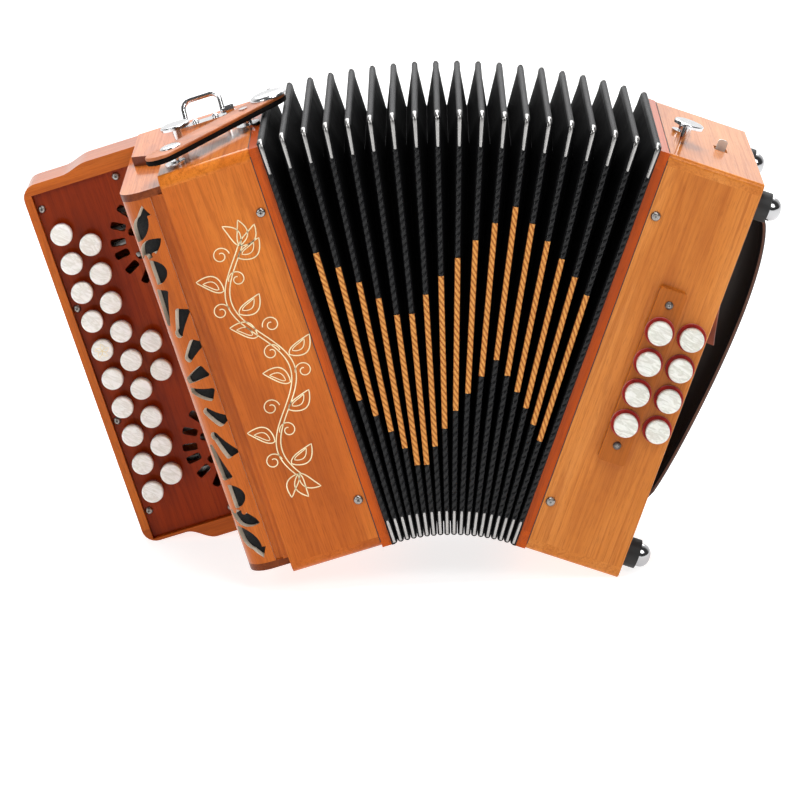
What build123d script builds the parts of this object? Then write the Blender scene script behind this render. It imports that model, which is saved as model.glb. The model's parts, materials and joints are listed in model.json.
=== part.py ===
from build123d import *
import math
import os

os.makedirs("parts", exist_ok=True)

# A two-row diatonic button accordion: 21 treble buttons, 8 bass buttons, 19 bellows folds.
# It stands with the bellows fanned open: both cases lean outwards from the closed bottom.
#
# Each case is drawn upright in its own frame: u runs outwards from its bellows face, v runs
# from the front panel to the back, w runs up. TREBLE has u along -X and BASS has u along +X.

# ---- driving dimensions, mm -------------------------------------------------------------
height = 285.0          # case height
depth = 163.0           # case depth, front panel to back panel
board = 8.0             # case board thickness
frame_t = 7.0           # bellows frame, the redder strip beside the bellows
treble_width = 69.0     # treble case from the bellows face to its sound board
bass_width = 72.5       # bass case from the bellows face to its outer wall
edge_round = 6.7        # rounding of the long outer edges of the treble case
bass_round = 3.5        # rounding of the long edges of the bass case

fold_pitch = 4.4        # thickness of one closed bellows fold
fold_count = 19
fold_depth = 26.0       # how far a fold reaches in from its rim
fold_proud = 3.0        # rims stand this far outside the case
fan_angle = 36.5        # angle between the two cases as it stands
fold_bodies = 8         # fold pairs that move on their own, between the two end folds

keyboard_front = 130.0  # front of the keyboard rim, measured from the front panel
keyboard_left = 178.5   # outer edge of the keyboard
keyboard_foot = 11.0    # lowest edge of the keyboard at its outer corner
keyboard_drop = 5.0     # the outer part of the keyboard top lies this far under the case top
rim_t = 5.7             # thickness of the keyboard rim beside the plate
plate_low, plate_high = 13.0, 272.7
plate_v = 134.0         # face of the button plate
plate_t = 3.0
cover_u = 98.5          # outer face of the pallet cover
cover_r = 17.5          # outer radius of its bend
cover_low, cover_high, cover_cap = 6.5, 278.5, 5.0
bracket_u = 93.5        # top and bottom boards widen to here beside the keyboard

key_pitch = 21.57       # treble buttons along a row
first_key_w = {"outer": 241.5, "inner": 228.7, "third": 151.2}
row_u = {"outer": 161.3, "inner": 144.6, "third": 127.0}
cap_d, cap_t = 15.2, 4.0
cap_v = 124.0           # top of a treble button
stem_d = 3.6
axle_u, axle_v, axle_d = 84.0, 148.5, 3.0
arm_w = 3.2             # thickness of a lever along the axle

bass_pitch = 22.1
bass_row = {"inner": (40.0, -13.0, 171.7), "outer": (62.0, -8.2, 173.0)}  # u, cap top v, first w
bass_cap_d = 16.2
bass_stem_d = 4.0
bass_travel = 3.5

TREBLE, BASS = -1, 1
mid_w = height / 2
crisp = 1.0                      # softened edge of a board
half_step = fan_angle / (fold_bodies + 1)
end_fold = 1.5 * fold_pitch      # from a bellows face to the first moving hinge


# ---- drawing helpers --------------------------------------------------------------------
def block(side, u, v, w):
    """A square block given as (low, high) pairs in a case's own u, v, w."""
    size = [b - a for a, b in (u, v, w)]
    at = (side * (u[0] + u[1]) / 2, (v[0] + v[1] - depth) / 2, (w[0] + w[1]) / 2)
    return Pos(*at) * Box(*size)


def rod(side, u, v, w, along, length, d):
    """A round rod that starts at u, v, w and runs `length` along u, v or w."""
    turn = {"u": Rot(0, 90 * side, 0), "v": Rot(-90, 0, 0), "w": Rot(0, 0, 0)}[along]
    start = Pos(side * u, v - depth / 2, w) * turn
    return start * Cylinder(d / 2, length, align=(Align.CENTER, Align.CENTER, Align.MIN))


def slab_w(side, points, w0, w1):
    """An outline in u, v pushed up from w0 to w1."""
    face = make_face(Polyline(*[(side * u, v - depth / 2, w0) for u, v in points], close=True))
    return extrude(face, amount=w1 - w0, dir=(0, 0, 1))


def slab_v(side, wire_points, v0, v1):
    """An outline in u, w pushed back from v0 to v1."""
    pts = [(side * u, v0 - depth / 2, w) for u, w in wire_points]
    return extrude(make_face(Polyline(*pts, close=True)), amount=v1 - v0, dir=(0, 1, 0))


def arc_points(cu, cw, r, start, end, steps=6):
    """Points on a round corner, angles in degrees from +u towards +w."""
    angles = [math.radians(start + (end - start) * i / steps) for i in range(steps + 1)]
    return [(cu + r * math.cos(a), cw + r * math.sin(a)) for a in angles]


def round_edges(shape, radius, pick):
    """Round the straight edges of a board that `pick` accepts by their middle point."""
    edges = [e for e in shape.edges() if pick(e.center())]
    return fillet(edges, radius)


# ---- placing the cases and folds --------------------------------------------------------
def place(x, z, tilt):
    return Location((x, 0, z), (0, tilt, 0))


def step_along(x, z, tilt, length):
    t = math.radians(tilt)
    return x + length * math.cos(t), z - length * math.sin(t)


def fan(roll=0.0):
    """Placement of each body from treble to bass, and the hinge between each pair."""
    tilt = -fan_angle / 2 + roll
    x, z = 0.0, 0.0
    bodies, hinges = [place(x, z, tilt)], []
    x, z = step_along(x, z, tilt, end_fold)
    for i in range(fold_bodies):
        hinges.append((x, z))
        tilt += half_step
        x, z = step_along(x, z, tilt, fold_pitch)
        bodies.append(place(x, z, tilt))
        x, z = step_along(x, z, tilt, fold_pitch)
    hinges.append((x, z))
    tilt += half_step
    x, z = step_along(x, z, tilt, end_fold)
    bodies.append(place(x, z, tilt))
    return bodies, hinges


def standing_roll():
    """Lean of the whole instrument that sets both lowest round edges on the floor."""
    bodies, _ = fan()
    left = bodies[0] * Pos(-(keyboard_left - 10), 0, keyboard_foot + 10)
    right = bodies[-1] * Pos(bass_width - crisp, 0, crisp)
    dx, dz = right.position.X - left.position.X, right.position.Z - left.position.Z
    return math.degrees(math.atan2(dz, dx) - math.asin((crisp - 10) / math.hypot(dx, dz)))


FAN, HINGES = fan(standing_roll())


# ---- case boards shared by both sides ---------------------------------------------------
def case_boards(side, u0, u1, radius):
    """Top, bottom, front and back boards, with the long edges rounded."""
    half = depth / 2
    top = block(side, (u0, u1), (0, depth), (height - board, height))
    bottom = block(side, (u0, u1), (0, depth), (0, board))
    ends = [round_edges(top, radius, lambda c: abs(abs(c.Y) - half) < 0.1 and c.Z > height - 0.1),
            round_edges(bottom, radius, lambda c: abs(abs(c.Y) - half) < 0.1 and c.Z < 0.1)]
    front = block(side, (u0, u1), (0, board), (board, height - board))
    back = block(side, (u0, u1), (depth - board, depth), (board, height - board))
    return ends[0], ends[1], front, back


def ring(side, u, outer, width):
    """Four straight rails round the bellows opening; `outer` is their distance outside."""
    v0, v1, w0, w1 = -outer, depth + outer, 0.0, height + outer
    return [block(side, u, (v0, v1), (w1 - width, w1)),
            block(side, u, (v0, v1), (w0, w0 + width)),
            block(side, u, (v0, v0 + width), (w0 + width, w1 - width)),
            block(side, u, (v1 - width, v1), (w0 + width, w1 - width))]


def bellows_frame(side):
    """The wooden frame and the half fold that is glued to it."""
    rails = ring(side, (0.2, frame_t - 0.2), 0.0, 12.0)
    half_fold = ring(side, (-fold_pitch * 0.5, 0.0), fold_proud - 1.0, fold_depth)
    return rails + [r.translate((0, 0, 0.4)) for r in half_fold]


def fold_pair():
    """Two folds of the bellows as one rigid ring, peaked at its rim."""
    half_t = fold_pitch - 0.15
    rails = ring(BASS, (-half_t, half_t), fold_proud, fold_depth)
    lift = 0.4
    peaked = []
    for rail in rails:
        outer = [e for e in rail.edges()
                 if abs(abs(e.center().X) - half_t) < 0.01 and is_rim(e.center())]
        peaked.append(chamfer(outer, 1.6).translate((0, 0, lift)))
    return peaked


def is_rim(c):
    """True on the outer faces of a fold ring, leaving the bottom hinge line square."""
    return abs(abs(c.Y) - depth / 2 - fold_proud) < 0.01 or c.Z > height + fold_proud - 0.01


# ---- treble side ------------------------------------------------------------------------
def key_lanes():
    """Name, row and centre height of each treble key, from the top."""
    lanes = []
    for row, count, digits in (("outer", 10, "02d"), ("inner", 9, "d"), ("third", 2, "d")):
        lanes += [(f"treble_key_{row}_{i + 1:{digits}}", row, first_key_w[row] - key_pitch * i)
                  for i in range(count)]
    return lanes


pallet_v = {"outer": (17.0, 43.0), "inner": (48.0, 74.0), "third": (79.0, 97.0)}
pallet_w = 15.6
lever_shift = {"outer": -0.2, "inner": 1.0, "third": -2.35}


def treble_key(row, w):
    """Button, stem, lever, pallet arm and pallet of one key, around the common axle."""
    side, u = TREBLE, row_u[row]
    lane = w + lever_shift[row]
    arm = (lane - arm_w / 2, lane + arm_w / 2)
    cap = round_edges(rod(side, u, cap_v, w, "v", cap_t, cap_d), 1.2,
                      lambda c: c.Y < cap_v - depth / 2 + 0.1)
    stem = rod(side, u, cap_v + cap_t, w, "v", axle_v - 3 - cap_v - cap_t, stem_d)
    boss = rod(side, axle_u, axle_v, arm[0], "w", arm_w, 9.0)
    lever = block(side, (axle_u, u + 3), (axle_v - 3, axle_v + 3), arm) - boss
    v0, v1 = pallet_v[row]
    pallet_arm = block(side, (axle_u - 1.5, axle_u + 2), (v0 + 6, axle_v), arm) - boss
    hub = boss - rod(side, axle_u, axle_v, arm[0] - 1, "w", arm_w + 2, axle_d + 0.1)
    foot = block(side, (76.4, axle_u - 1.5), (v0 + 6, v1 - 6), arm)
    pallet = block(side, (71.4, 76.4), (v0, v1), (lane - pallet_w / 2, lane + pallet_w / 2))
    felt = block(side, (69.4, 71.4), (v0, v1), (lane - pallet_w / 2, lane + pallet_w / 2))
    return [cap, stem, lever, hub, pallet_arm, foot, pallet, felt]


def sound_board_treble():
    """The board that the pallets close, with one air hole under each pallet."""
    sheet = block(TREBLE, (64.0, treble_width), (board, depth - board), (board, height - board))
    for _, row, w in key_lanes():
        v0, v1 = pallet_v[row]
        lane = w + lever_shift[row]
        sheet -= block(TREBLE, (60, 72), (v0 + 4, v1 - 4), (lane - 4, lane + 4))
    return [sheet]


def treble_case():
    """Case boards; the top and bottom boards carry a bracket that widens to the keyboard."""
    top, bottom, front, back = case_boards(TREBLE, frame_t, treble_width, edge_round)
    corner = [(treble_width, 70.0), (bracket_u, 93.0), (bracket_u, depth), (treble_width, depth)]
    brackets = [slab_w(TREBLE, corner, 0, cover_low), slab_w(TREBLE, corner, cover_high, height)]
    rails = (cover_low + cover_cap, cover_high - cover_cap)
    moulding = [block(TREBLE, (treble_width, treble_width + 4.0), (3.5, 9.0), rails),
                block(TREBLE, (treble_width + 4.0, treble_width + 9.2), (6.5, 12.0), rails)]
    front, back = [cut_pins(TREBLE, b) for b in (front, back)]
    return [top, bottom, front, back] + brackets + moulding


def cover_outline(inset):
    """Half outline of the bent pallet cover: flat front, quarter round, straight side."""
    cu, cv, r = cover_u - cover_r, cover_r + 5.0, cover_r - inset
    turn = [(cu + r * math.cos(a), cv - r * math.sin(a))
            for a in [math.radians(90 - 90 * i / 10) for i in range(11)]]
    return [(treble_width + 9.2, cv - r)] + turn + [(cover_u - inset, keyboard_front)]


def sun_slot(angle, r0, r1, thin, wide):
    """Tapered slot of the fretwork sunburst, running out from its centre."""
    face = Polygon((r0, -thin / 2), (r1, -wide / 2), (r1, wide / 2), (r0, thin / 2), align=None)
    return Pos(12, 0) * Rot(0, 0, 180 - angle) * fillet(face.vertices(), 0.4 * thin)


def leaf(x, y, long_, wide, angle):
    """Pointed leaf bounded by two equal arcs."""
    r = (long_ ** 2 + wide ** 2) / (4 * wide)
    face = (Pos(0, r - wide / 2) * Circle(r)) & (Pos(0, wide / 2 - r) * Circle(r))
    return Pos(x, y) * Rot(0, 0, angle) * face


def fretwork():
    """Openings of one half of the fretwork, on the chord of the bend, from mid height up."""
    sun = [sun_slot(*slot) for slot in ((20, 9, 26, 4.0, 9.4), (49, 23, 39, 5.0, 8.4),
                                        (66, 38, 58, 4.4, 8.4), (78, 44, 70, 3.6, 9.6))]
    dot = Pos(-4, 37) * Circle(3.0)
    bud = Pos(-1, 81) * (Ellipse(9.5, 8.6) & (Pos(-6, 0) * Rectangle(13, 20)))
    wing = leaf(-3, 97, 23, 11, -30) - Pos(2, 91) * Circle(2.4) - Pos(-6, 93) * Circle(1.6)
    blade = leaf(-2, 112, 24, 11.5, 130)
    tip = Polygon((-12, 119.5), (-2, 118.5), (-9, 127), align=None)
    return sun + [dot, bud, wing, blade, tip]


def treble_grille():
    """Bent fretwork cover over the pallets, with its two end caps."""
    low, high = cover_low + cover_cap, cover_high - cover_cap
    shell = slab_w(TREBLE, cover_outline(0.0) + cover_outline(3.0)[::-1], low, high)
    cu, cv = cover_u - cover_r, cover_r + 5.0
    mid_bend = cover_r * math.sqrt(0.5)
    chord = Plane(origin=(TREBLE * (cu + mid_bend), cv - mid_bend - depth / 2, mid_w),
                  x_dir=(TREBLE, 1, 0), z_dir=(TREBLE, -1, 0))
    for opening in fretwork():
        for half in (opening, mirror(opening, Plane.XZ)):
            shell -= extrude(chord * half, amount=14, both=True)
    outline = [(treble_width, 5.0)] + cover_outline(0.0) + [(treble_width, keyboard_front)]
    return [shell, slab_w(TREBLE, outline, cover_low, low), slab_w(TREBLE, outline, high, cover_high)]


def swoop(high, low):
    """S-curve of a keyboard end board, from its level at the case to its outer level."""
    return [(129 + 20 * t, low + (high - low) * (0.5 + 0.5 * math.cos(math.pi * t)))
            for t in [i / 10 for i in range(11)]]


def keyboard_box():
    """The boards round the keys: S-curved top and foot, a straight side and a back."""
    k0, k1, left, foot = keyboard_front, depth, keyboard_left, keyboard_foot
    inside, high = left - rim_t, height - keyboard_drop
    corner = arc_points(left - 10, high - 10, 10, 90, 0)
    top = slab_v(TREBLE, [(treble_width, cover_high), (bracket_u, cover_high), (bracket_u, height - 0.6)]
                 + swoop(height - 0.6, high) + corner
                 + [(inside, high - 10), (inside, plate_high), (treble_width, plate_high)], k0, k1)
    low_corner = arc_points(left - 10, foot + 10, 10, -90, 0)
    bottom = slab_v(TREBLE, [(treble_width, cover_low), (bracket_u, cover_low), (bracket_u, 1.6)]
                    + swoop(1.6, foot) + low_corner
                    + [(inside, foot + 10), (inside, plate_low), (treble_width, plate_low)], k0, k1)
    side_board = block(TREBLE, (inside, left), (k0, k1), (foot + 10, high - 10))
    back = block(TREBLE, (treble_width, inside), (k1 - 5, k1), (plate_low, plate_high))
    behind = (plate_v + plate_t, plate_v + plate_t + 6)
    batten = [block(TREBLE, (inside - 8, inside), behind, (plate_low, plate_high)),
              block(TREBLE, (axle_u + 10.5, inside - 8), behind, (plate_high - 8, plate_high)),
              block(TREBLE, (axle_u + 10.5, inside - 8), behind, (plate_low, plate_low + 8))]
    batten = [b - screw_hole_set(keyboard_screws(), plate_v, 2.6) for b in batten]
    return [top, bottom, side_board, back] + batten


def keyboard_screws():
    """Places u, w of the screws that hold the button plate."""
    side_u, inner_u = keyboard_left - 9.0, 113.6
    return [(side_u, w) for w in (261, 187, 102, 33)] + [(inner_u, 267.6), (inner_u, 18.0)]


def screw_hole_set(places, v, d):
    holes = [rod(TREBLE, u, v - 1, w, "v", 12, d) for u, w in places]
    return holes


def plate_sun():
    """Slots (u, w, angle, length) of one sunburst sound hole, measured from its centre."""
    rays = [(31.0, a, 10.5) for a in (-51, -29, -8, 8, 29, 51)] + [(19.5, a, 8.0) for a in (-24, 24)]
    return [(r * math.cos(math.radians(a)), r * math.sin(math.radians(a)), a, long_)
            for r, a, long_ in rays]


def keyboard_plate():
    """The recessed button plate with a hole for each stem and two sunburst sound holes."""
    plate = block(TREBLE, (axle_u + 10.5, keyboard_left - rim_t - 0.2), (plate_v, plate_v + plate_t),
                  (plate_low + 0.2, plate_high - 0.2))
    for _, row, w in key_lanes():
        plate -= rod(TREBLE, row_u[row], plate_v - 1, w, "v", 6, 8.4)
    for centre in (218.5, 64.0):
        for du, dw, angle, long_ in plate_sun():
            slot = fillet(Box(long_, 8, 5.4).edges().filter_by(Axis.Y), 1.7)
            at = Pos(TREBLE * (96.5 + du), plate_v + 1.5 - depth / 2, centre + dw)
            plate -= at * Rot(0, angle, 0) * slot
    for hole in screw_hole_set(keyboard_screws(), plate_v, 2.6):
        plate -= hole
    return [plate]


def dome_screw(side, u, v, w, d, shank, length, face="v"):
    """Round-headed screw standing on the face, its shank running into the case."""
    head = rod(side, u, v - 0.32 * d, w, face, 0.32 * d, d)
    head = fillet(head.edges().filter_by(GeomType.CIRCLE).sort_by(Axis.Y)[0], 0.3 * d)
    return head + rod(side, u, v, w, face, length, shank)


def pin_places():
    return [(12.0, mid_w + 100.3), (12.0, mid_w - 105.7)]


def cut_pins(side, panel):
    """Holes for the bellows pins through the front or back board."""
    for u, w in pin_places():
        panel -= rod(side, u, -2, w, "v", depth + 4, 3.1)
    return panel


def bellows_pins(side):
    front = [dome_screw(side, u, 0, w, 6.6, 3.0, 7.0) for u, w in pin_places()]
    return front + [mirror(p, Plane.XZ) for p in front]


def treble_axle_and_screws():
    """Lever axle with its two end bearings, plate screws and bellows pins."""
    low, high = plate_low, plate_high
    axle = rod(TREBLE, axle_u, axle_v, low + 1, "w", high - low - 2, axle_d)
    post = []
    for w in (low, high - 5):
        b = block(TREBLE, (axle_u - 6, axle_u + 6), (axle_v - 6, depth - 5), (w, w + 5))
        post.append(b - rod(TREBLE, axle_u, axle_v, w - 1, "w", 7, axle_d + 0.04))
    screws = [dome_screw(TREBLE, u, plate_v, w, 5.6, 2.5, 8.0) for u, w in keyboard_screws()]
    return [axle] + post + screws + bellows_pins(TREBLE)


def reed_blocks(side, u0, u1, rows, w0, w1):
    """Wooden reed blocks on the sound board, each with a metal reed plate on both cheeks."""
    out = []
    for v in rows:
        out.append(block(side, (u0, u1), (v - 5, v + 5), (w0, w1)))
        out += [block(side, (u0, u1 - 3), (v + s * 6 - 0.9, v + s * 6 + 0.9), (w0 + 4, w1 - 4))
                for s in (-1, 1)]
    return out


# ---- fittings on top of the cases -------------------------------------------------------
def stud(side, u, v):
    """Mushroom stud that a bellows strap buttons over."""
    post = rod(side, u, v, height, "w", 12.0, 6.0)
    disc = rod(side, u, v, height + 12.0, "w", 2.6, 20.0)
    disc = round_edges(disc, 1.1, lambda c: c.Z > height + 14.5)
    return post + disc


loop_span = 30.0
loop_u = 42.0
loop_wire = 3.6
loop_tall = 15.0
eye_lift = 4.2
# Seat of each strap loop: point on the case, and its outward turn about the bellows-to-outside
# axis. The upper one sits on top near the back, the lower one on the back board near the foot.
loop_seats = {"upper": (depth - 32.0, height, 0.0, -35.0), "lower": (depth, 30.0, -90.0, -88.0)}


def loop_seat(which):
    """Frame on the case surface: x along u, z outwards from the case."""
    v, w, turn, _ = loop_seats[which]
    return Pos(TREBLE * loop_u, v - depth / 2, w) * Rot(turn, 0, 0)


def loop_bracket(which):
    """Plate with two eyes for a shoulder-strap loop."""
    plate = fillet(Box(48, 12, 2.0, align=(Align.CENTER, Align.CENTER, Align.MIN))
                   .edges().filter_by(Axis.Z), 5.5)
    eyes = []
    for s in (-1, 1):
        x = s * (loop_span / 2 + 3.2)
        barrel = Pos(x, 0, eye_lift) * Rot(0, 90, 0) * Cylinder(3.6, 6)
        foot = Pos(x, 0, 2.0) * Box(6, 7.2, eye_lift - 2.0, align=(Align.CENTER, Align.CENTER, Align.MIN))
        bore = Pos(x, 0, eye_lift) * Rot(0, 90, 0) * Cylinder(loop_wire / 2 + 0.05, 10)
        eyes.append(barrel + foot - bore)
    screws = [Pos(x, 0, 2.0) * Sphere(2.6) & Pos(x, 0, 4.0) * Box(8, 8, 4.0) for x in (-7, 7)]
    return [loop_seat(which) * s for s in [plate] + eyes + screws]


def strap_loop(which):
    """D-shaped wire loop with round shoulders; its two feet turn in the eyes of the bracket."""
    lean = loop_seats[which][3]
    r, half = loop_wire / 2, loop_span / 2 - 2.0
    round_ = [(half - 6 + x, loop_tall - 6 + z) for x, z in arc_points(0, 0, 6, 0, 90, 4)]
    right = [(half + 8, 0), (half, 0)] + round_
    path = right + [(-x, z) for x, z in right[::-1]]
    wire = [wire_piece(a, b, r) for a, b in zip(path[:-1], path[1:])]
    knees = [Pos(x, 0, z) * Sphere(r) for x, z in path[1:-1]]
    loop = wire[0].fuse(*wire[1:], *knees)
    return [loop_seat(which) * Pos(0, 0, eye_lift) * Rot(lean, 0, 0) * loop]


def wire_piece(a, b, r):
    p, q = Vector(a[0], 0, a[1]), Vector(b[0], 0, b[1])
    return Solid.make_cylinder(r, (q - p).length, Plane(p, z_dir=(q - p)))


strap_post = (9.0, 71.0)       # post that the bellows strap turns on
strap_snap = (57.0, 22.0)      # parking stud of its free end
strap_ends = 20.0, 25.0        # leather past the snap, and past the post
strap_disc = 24.0              # big cap, beyond the post
strap_w = height + 8.5
strap_t = 4.0
strap_width = 22.0


def bellows_strap():
    """Leather strap that holds the bellows shut, parked across the case top."""
    (u0, v0), (u1, v1) = strap_post, strap_snap
    reach = math.hypot(u1 - u0, v1 - v0)
    angle = math.degrees(math.atan2(v1 - v0, -(u1 - u0)))
    past_snap, past_post = strap_ends
    tongue = Box(reach + past_snap + past_post + 10, strap_width, strap_t)
    tongue = Pos((reach + past_snap - past_post - 10) / 2, 0, 0) * tongue
    tongue = fillet(tongue.edges().filter_by(Axis.Z), 10.5)
    tongue -= Cylinder(3.05, 10)
    seat = (Align.CENTER, Align.CENTER, Align.MIN)
    disc = fillet(Cylinder(12.5, 3.4, align=seat).edges().group_by(Axis.Z)[-1], 2.6)
    small = Cylinder(7.2, 1.5, align=seat)
    caps = [Pos(-strap_disc, 0, strap_t / 2) * disc, Pos(reach, 0, strap_t / 2) * small]
    set_down = Pos(TREBLE * u0, v0 - depth / 2, strap_w + strap_t / 2) * Rot(0, 0, angle)
    return [set_down * s for s in [tongue] + caps]


def strap_brackets():
    """Loop plates, mushroom stud and the two bases of the bellows strap."""
    base = rod(TREBLE, *strap_post, height, "w", 2.4, 16.0)
    base += rod(TREBLE, *strap_post, height, "w", 13.4, 6.0)
    rosette = rod(TREBLE, *strap_snap, height, "w", 2.4, 14.0)
    rosette += rod(TREBLE, *strap_snap, height, "w", 8.3, 6.0)
    brackets = loop_bracket("upper") + loop_bracket("lower")
    return brackets + [stud(TREBLE, 57.5, 84.0), base, rosette]


# ---- bass side --------------------------------------------------------------------------
def bass_places():
    """Name, row, u and w of each bass button."""
    return [(f"bass_button_{row}_{i + 1}", row, u, w - bass_pitch * i)
            for row, (u, _, w) in bass_row.items() for i in range(4)]


def bass_button(row, u, w):
    """Cap and push rod of one bass button."""
    v = bass_row[row][1]
    cap = round_edges(rod(BASS, u, v, w, "v", 4.0, bass_cap_d), 1.3,
                      lambda c: c.Y < v - depth / 2 + 0.1)
    push = rod(BASS, u, v + 4.0, w, "v", 30.0 - v - 4.0, bass_stem_d)
    return [cap, push]


def bass_holes(panel):
    for _, _, u, w in bass_places():
        panel -= rod(BASS, u, -20, w, "v", 40, bass_stem_d + 0.12)
    return panel


wall_t = 5.0
air_spot = (134.0, 205.0)       # v, w of the air button on the outer wall
stop_spot = (47.0, 70.0)       # u, v of the thirds stop on top


def bass_case():
    """Case boards with the outer wall set between them."""
    boards = case_boards(BASS, frame_t, bass_width, bass_round)
    top, bottom, front, back = [soften_outer(b) for b in boards]
    front = bass_holes(cut_pins(BASS, front))
    back = cut_pins(BASS, back)
    u, v = stop_spot
    top -= block(BASS, (u - 4.6, u + 4.6), (v - 6, v + 6), (height - 20, height + 5))
    wall = block(BASS, (bass_width - wall_t, bass_width), (board, depth - board), (board, height - board))
    av, aw = air_spot
    wall -= rod(BASS, bass_width - 20, av, aw, "u", 40, 8.12)
    return [top, bottom, front, back, wall]


def soften_outer(panel):
    """Break the straight outward edges of a bass board that lie on the outside."""
    def outside(e):
        c = e.center()
        rim = abs(abs(c.Y) - depth / 2) < 0.1 or c.Z > height - 0.1 or c.Z < 0.1
        return c.X > bass_width - 0.1 and rim
    return fillet([e for e in panel.edges() if outside(e)], 0.8)


def bass_button_rail():
    """Raised rail under the inner row."""
    u, _, top_w = bass_row["inner"]
    w0, w1 = top_w - 3 * bass_pitch - 29, top_w + 29
    low_screw, high_screw = rail_screws()
    rail = block(BASS, (u - 9.3, u + 9.3), (-5.0, 0.0), (w0, w1))
    rail = bass_holes(rail)
    corners = [e for e in rail.edges().filter_by(Axis.Y) if abs(abs(e.center().X - u) - 9.3) < 0.1]
    rail = fillet(corners, 2.2)
    for w in (low_screw, high_screw):
        rail -= rod(BASS, u, -8, w, "v", 20, 2.6)
    return [rail]


def rail_screws():
    """Heights of the two rail screws."""
    top_w = bass_row["inner"][2]
    return top_w - 3 * bass_pitch - 16.4, top_w + 18.5


def bass_sound_board():
    sheet = block(BASS, (24.0, 28.0), (board, depth - board), (board, height - board))
    for v, w in bass_pallet_spots():
        sheet -= block(BASS, (20, 30), (v - 11, v + 11), (w - 5, w + 5))
    return [sheet]


def bass_pallet_spots():
    return [(v, 40.0 + 54.0 * i) for v in (70.0, 120.0) for i in range(4)]


def bass_pallets():
    """Bass levers and pallets on the outer face of the bass sound board."""
    out = []
    for v, w in bass_pallet_spots():
        out.append(block(BASS, (28.3, 33.0), (v - 14, v + 14), (w - 8, w + 8)))
        out.append(block(BASS, (33.0, 36.0), (40.0, v + 8), (w - 1.6, w + 1.6)))
    out.append(block(BASS, (31.0, 33.0), (40.0, 48.0), (board, height - board)))
    return out


strap_low, strap_high = 44.0, 258.0     # where the hand strap leaves the wall
strap_half, strap_bow = 40.0, 19.0


def strap_lift(s):
    """Bow of the hand strap off the wall, s running from its lower to its upper end."""
    return strap_bow * math.sin(math.pi * s ** 1.94) ** 0.3 if 0 < s < 1 else 0.0


def hand_strap():
    """Broad leather band bowed off the outer wall, for the player's left hand."""
    t, wall, steps = 4.5, bass_width + 0.4, 22
    outer, inner = [], []
    for i in range(steps + 1):
        s = (i / steps) ** 0.8
        w = strap_low + (strap_high - strap_low) * s
        outer.append((wall + strap_lift(s) + t, w))
        inner.append((wall + strap_lift(s), w))
    high = [(wall, strap_high + 14), (wall + t, strap_high + 14)]
    low = [(wall + t, strap_low - 12), (wall, strap_low - 12)]
    mid = depth / 2
    return [slab_v(BASS, low + inner + high + outer[::-1], mid - strap_half, mid + strap_half)]


def foot_places():
    return [(v, w) for v in (17.0, depth - 17.0) for w in (15.5, height - 17.0)]


def bass_feet():
    """Rubber feet with chrome domes on the outer wall."""
    out = []
    for v, w in foot_places():
        out.append(rod(BASS, bass_width, v, w, "u", 9.5, 20.0))
        dome = rod(BASS, bass_width + 9.5, v, w, "u", 8.5, 16.0)
        far = bass_width + 17.9
        out.append(round_edges(dome, 6.5, lambda c: c.X > far))
    return out


def bass_screws():
    """Rail screws, bellows pins, the strap stud and its rosette."""
    u = bass_row["inner"][0]
    screws = [dome_screw(BASS, u, -5.0, w, 5.6, 2.5, 4.9) for w in rail_screws()]
    post = stud(BASS, 18.5, 49.0)
    rosette = rod(BASS, 19.0, 77.0, height, "w", 2.2, 13.0)
    rosette += rod(BASS, 19.0, 77.0, height, "w", 6.0, 5.0)
    return screws + bellows_pins(BASS) + [post, rosette]


def thirds_stop():
    """Slide tab that mutes the thirds in the bass chords."""
    u, v = stop_spot
    plate = block(BASS, (u - 3.3, u + 3.3), (v - 0.6, v + 0.6), (height - 16, height + 6.6))
    return [fillet([e for e in plate.edges().filter_by(Axis.Y) if e.center().Z > height], 2.2)]


def air_button():
    """Thumb button of the air valve, pushed in through the outer wall."""
    v, w = air_spot
    cap = rod(BASS, bass_width + 6.0, v, w, "u", 4.0, 16.0)
    cap = round_edges(cap, 1.4, lambda c: c.X > bass_width + 9.9)
    return [cap, rod(BASS, bass_width - 22.0, v, w, "u", 28.0, 8.0)]


# ---- the whole instrument ---------------------------------------------------------------
def build():
    """Every node as (solids, placement) in the standing pose."""
    treble, bass = FAN[0], FAN[-1]
    nodes = {
        "treble_case": (treble_case(), treble),
        "treble_bellows_frame": (bellows_frame(TREBLE), treble),
        "treble_grille": (treble_grille(), treble),
        "keyboard_box": (keyboard_box(), treble),
        "keyboard_plate": (keyboard_plate(), treble),
        "treble_sound_board": (sound_board_treble(), treble),
        "treble_axle_and_screws": (treble_axle_and_screws(), treble),
        "treble_reed_blocks": (reed_blocks(TREBLE, 30.0, 63.8, (34, 66, 98, 130), 30, 255), treble),
        "strap_brackets": (strap_brackets(), treble),
        "upper_strap_loop": (strap_loop("upper"), treble),
        "lower_strap_loop": (strap_loop("lower"), treble),
        "bellows_strap": (bellows_strap(), treble),
        "bass_bellows_frame": (bellows_frame(BASS), bass),
        "bass_case": (bass_case(), bass),
        "bass_button_rail": (bass_button_rail(), bass),
        "bass_sound_board": (bass_sound_board(), bass),
        "bass_reed_blocks": (reed_blocks(BASS, 3.0, 23.8, (50, 81, 112), 40, 245), bass),
        "bass_pallets": (bass_pallets(), bass),
        "hand_strap": (hand_strap(), bass),
        "bass_feet": (bass_feet(), bass),
        "bass_screws": (bass_screws(), bass),
        "air_button": (air_button(), bass),
        "thirds_stop": (thirds_stop(), bass),
    }
    for name, row, w in key_lanes():
        nodes[name] = (treble_key(row, w), treble)
    for name, row, u, w in bass_places():
        nodes[name] = (bass_button(row, u, w), bass)
    for i in range(fold_bodies):
        nodes[f"bellows_fold_pair_{i + 1}"] = (fold_pair(), FAN[i + 1])
    return nodes


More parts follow.
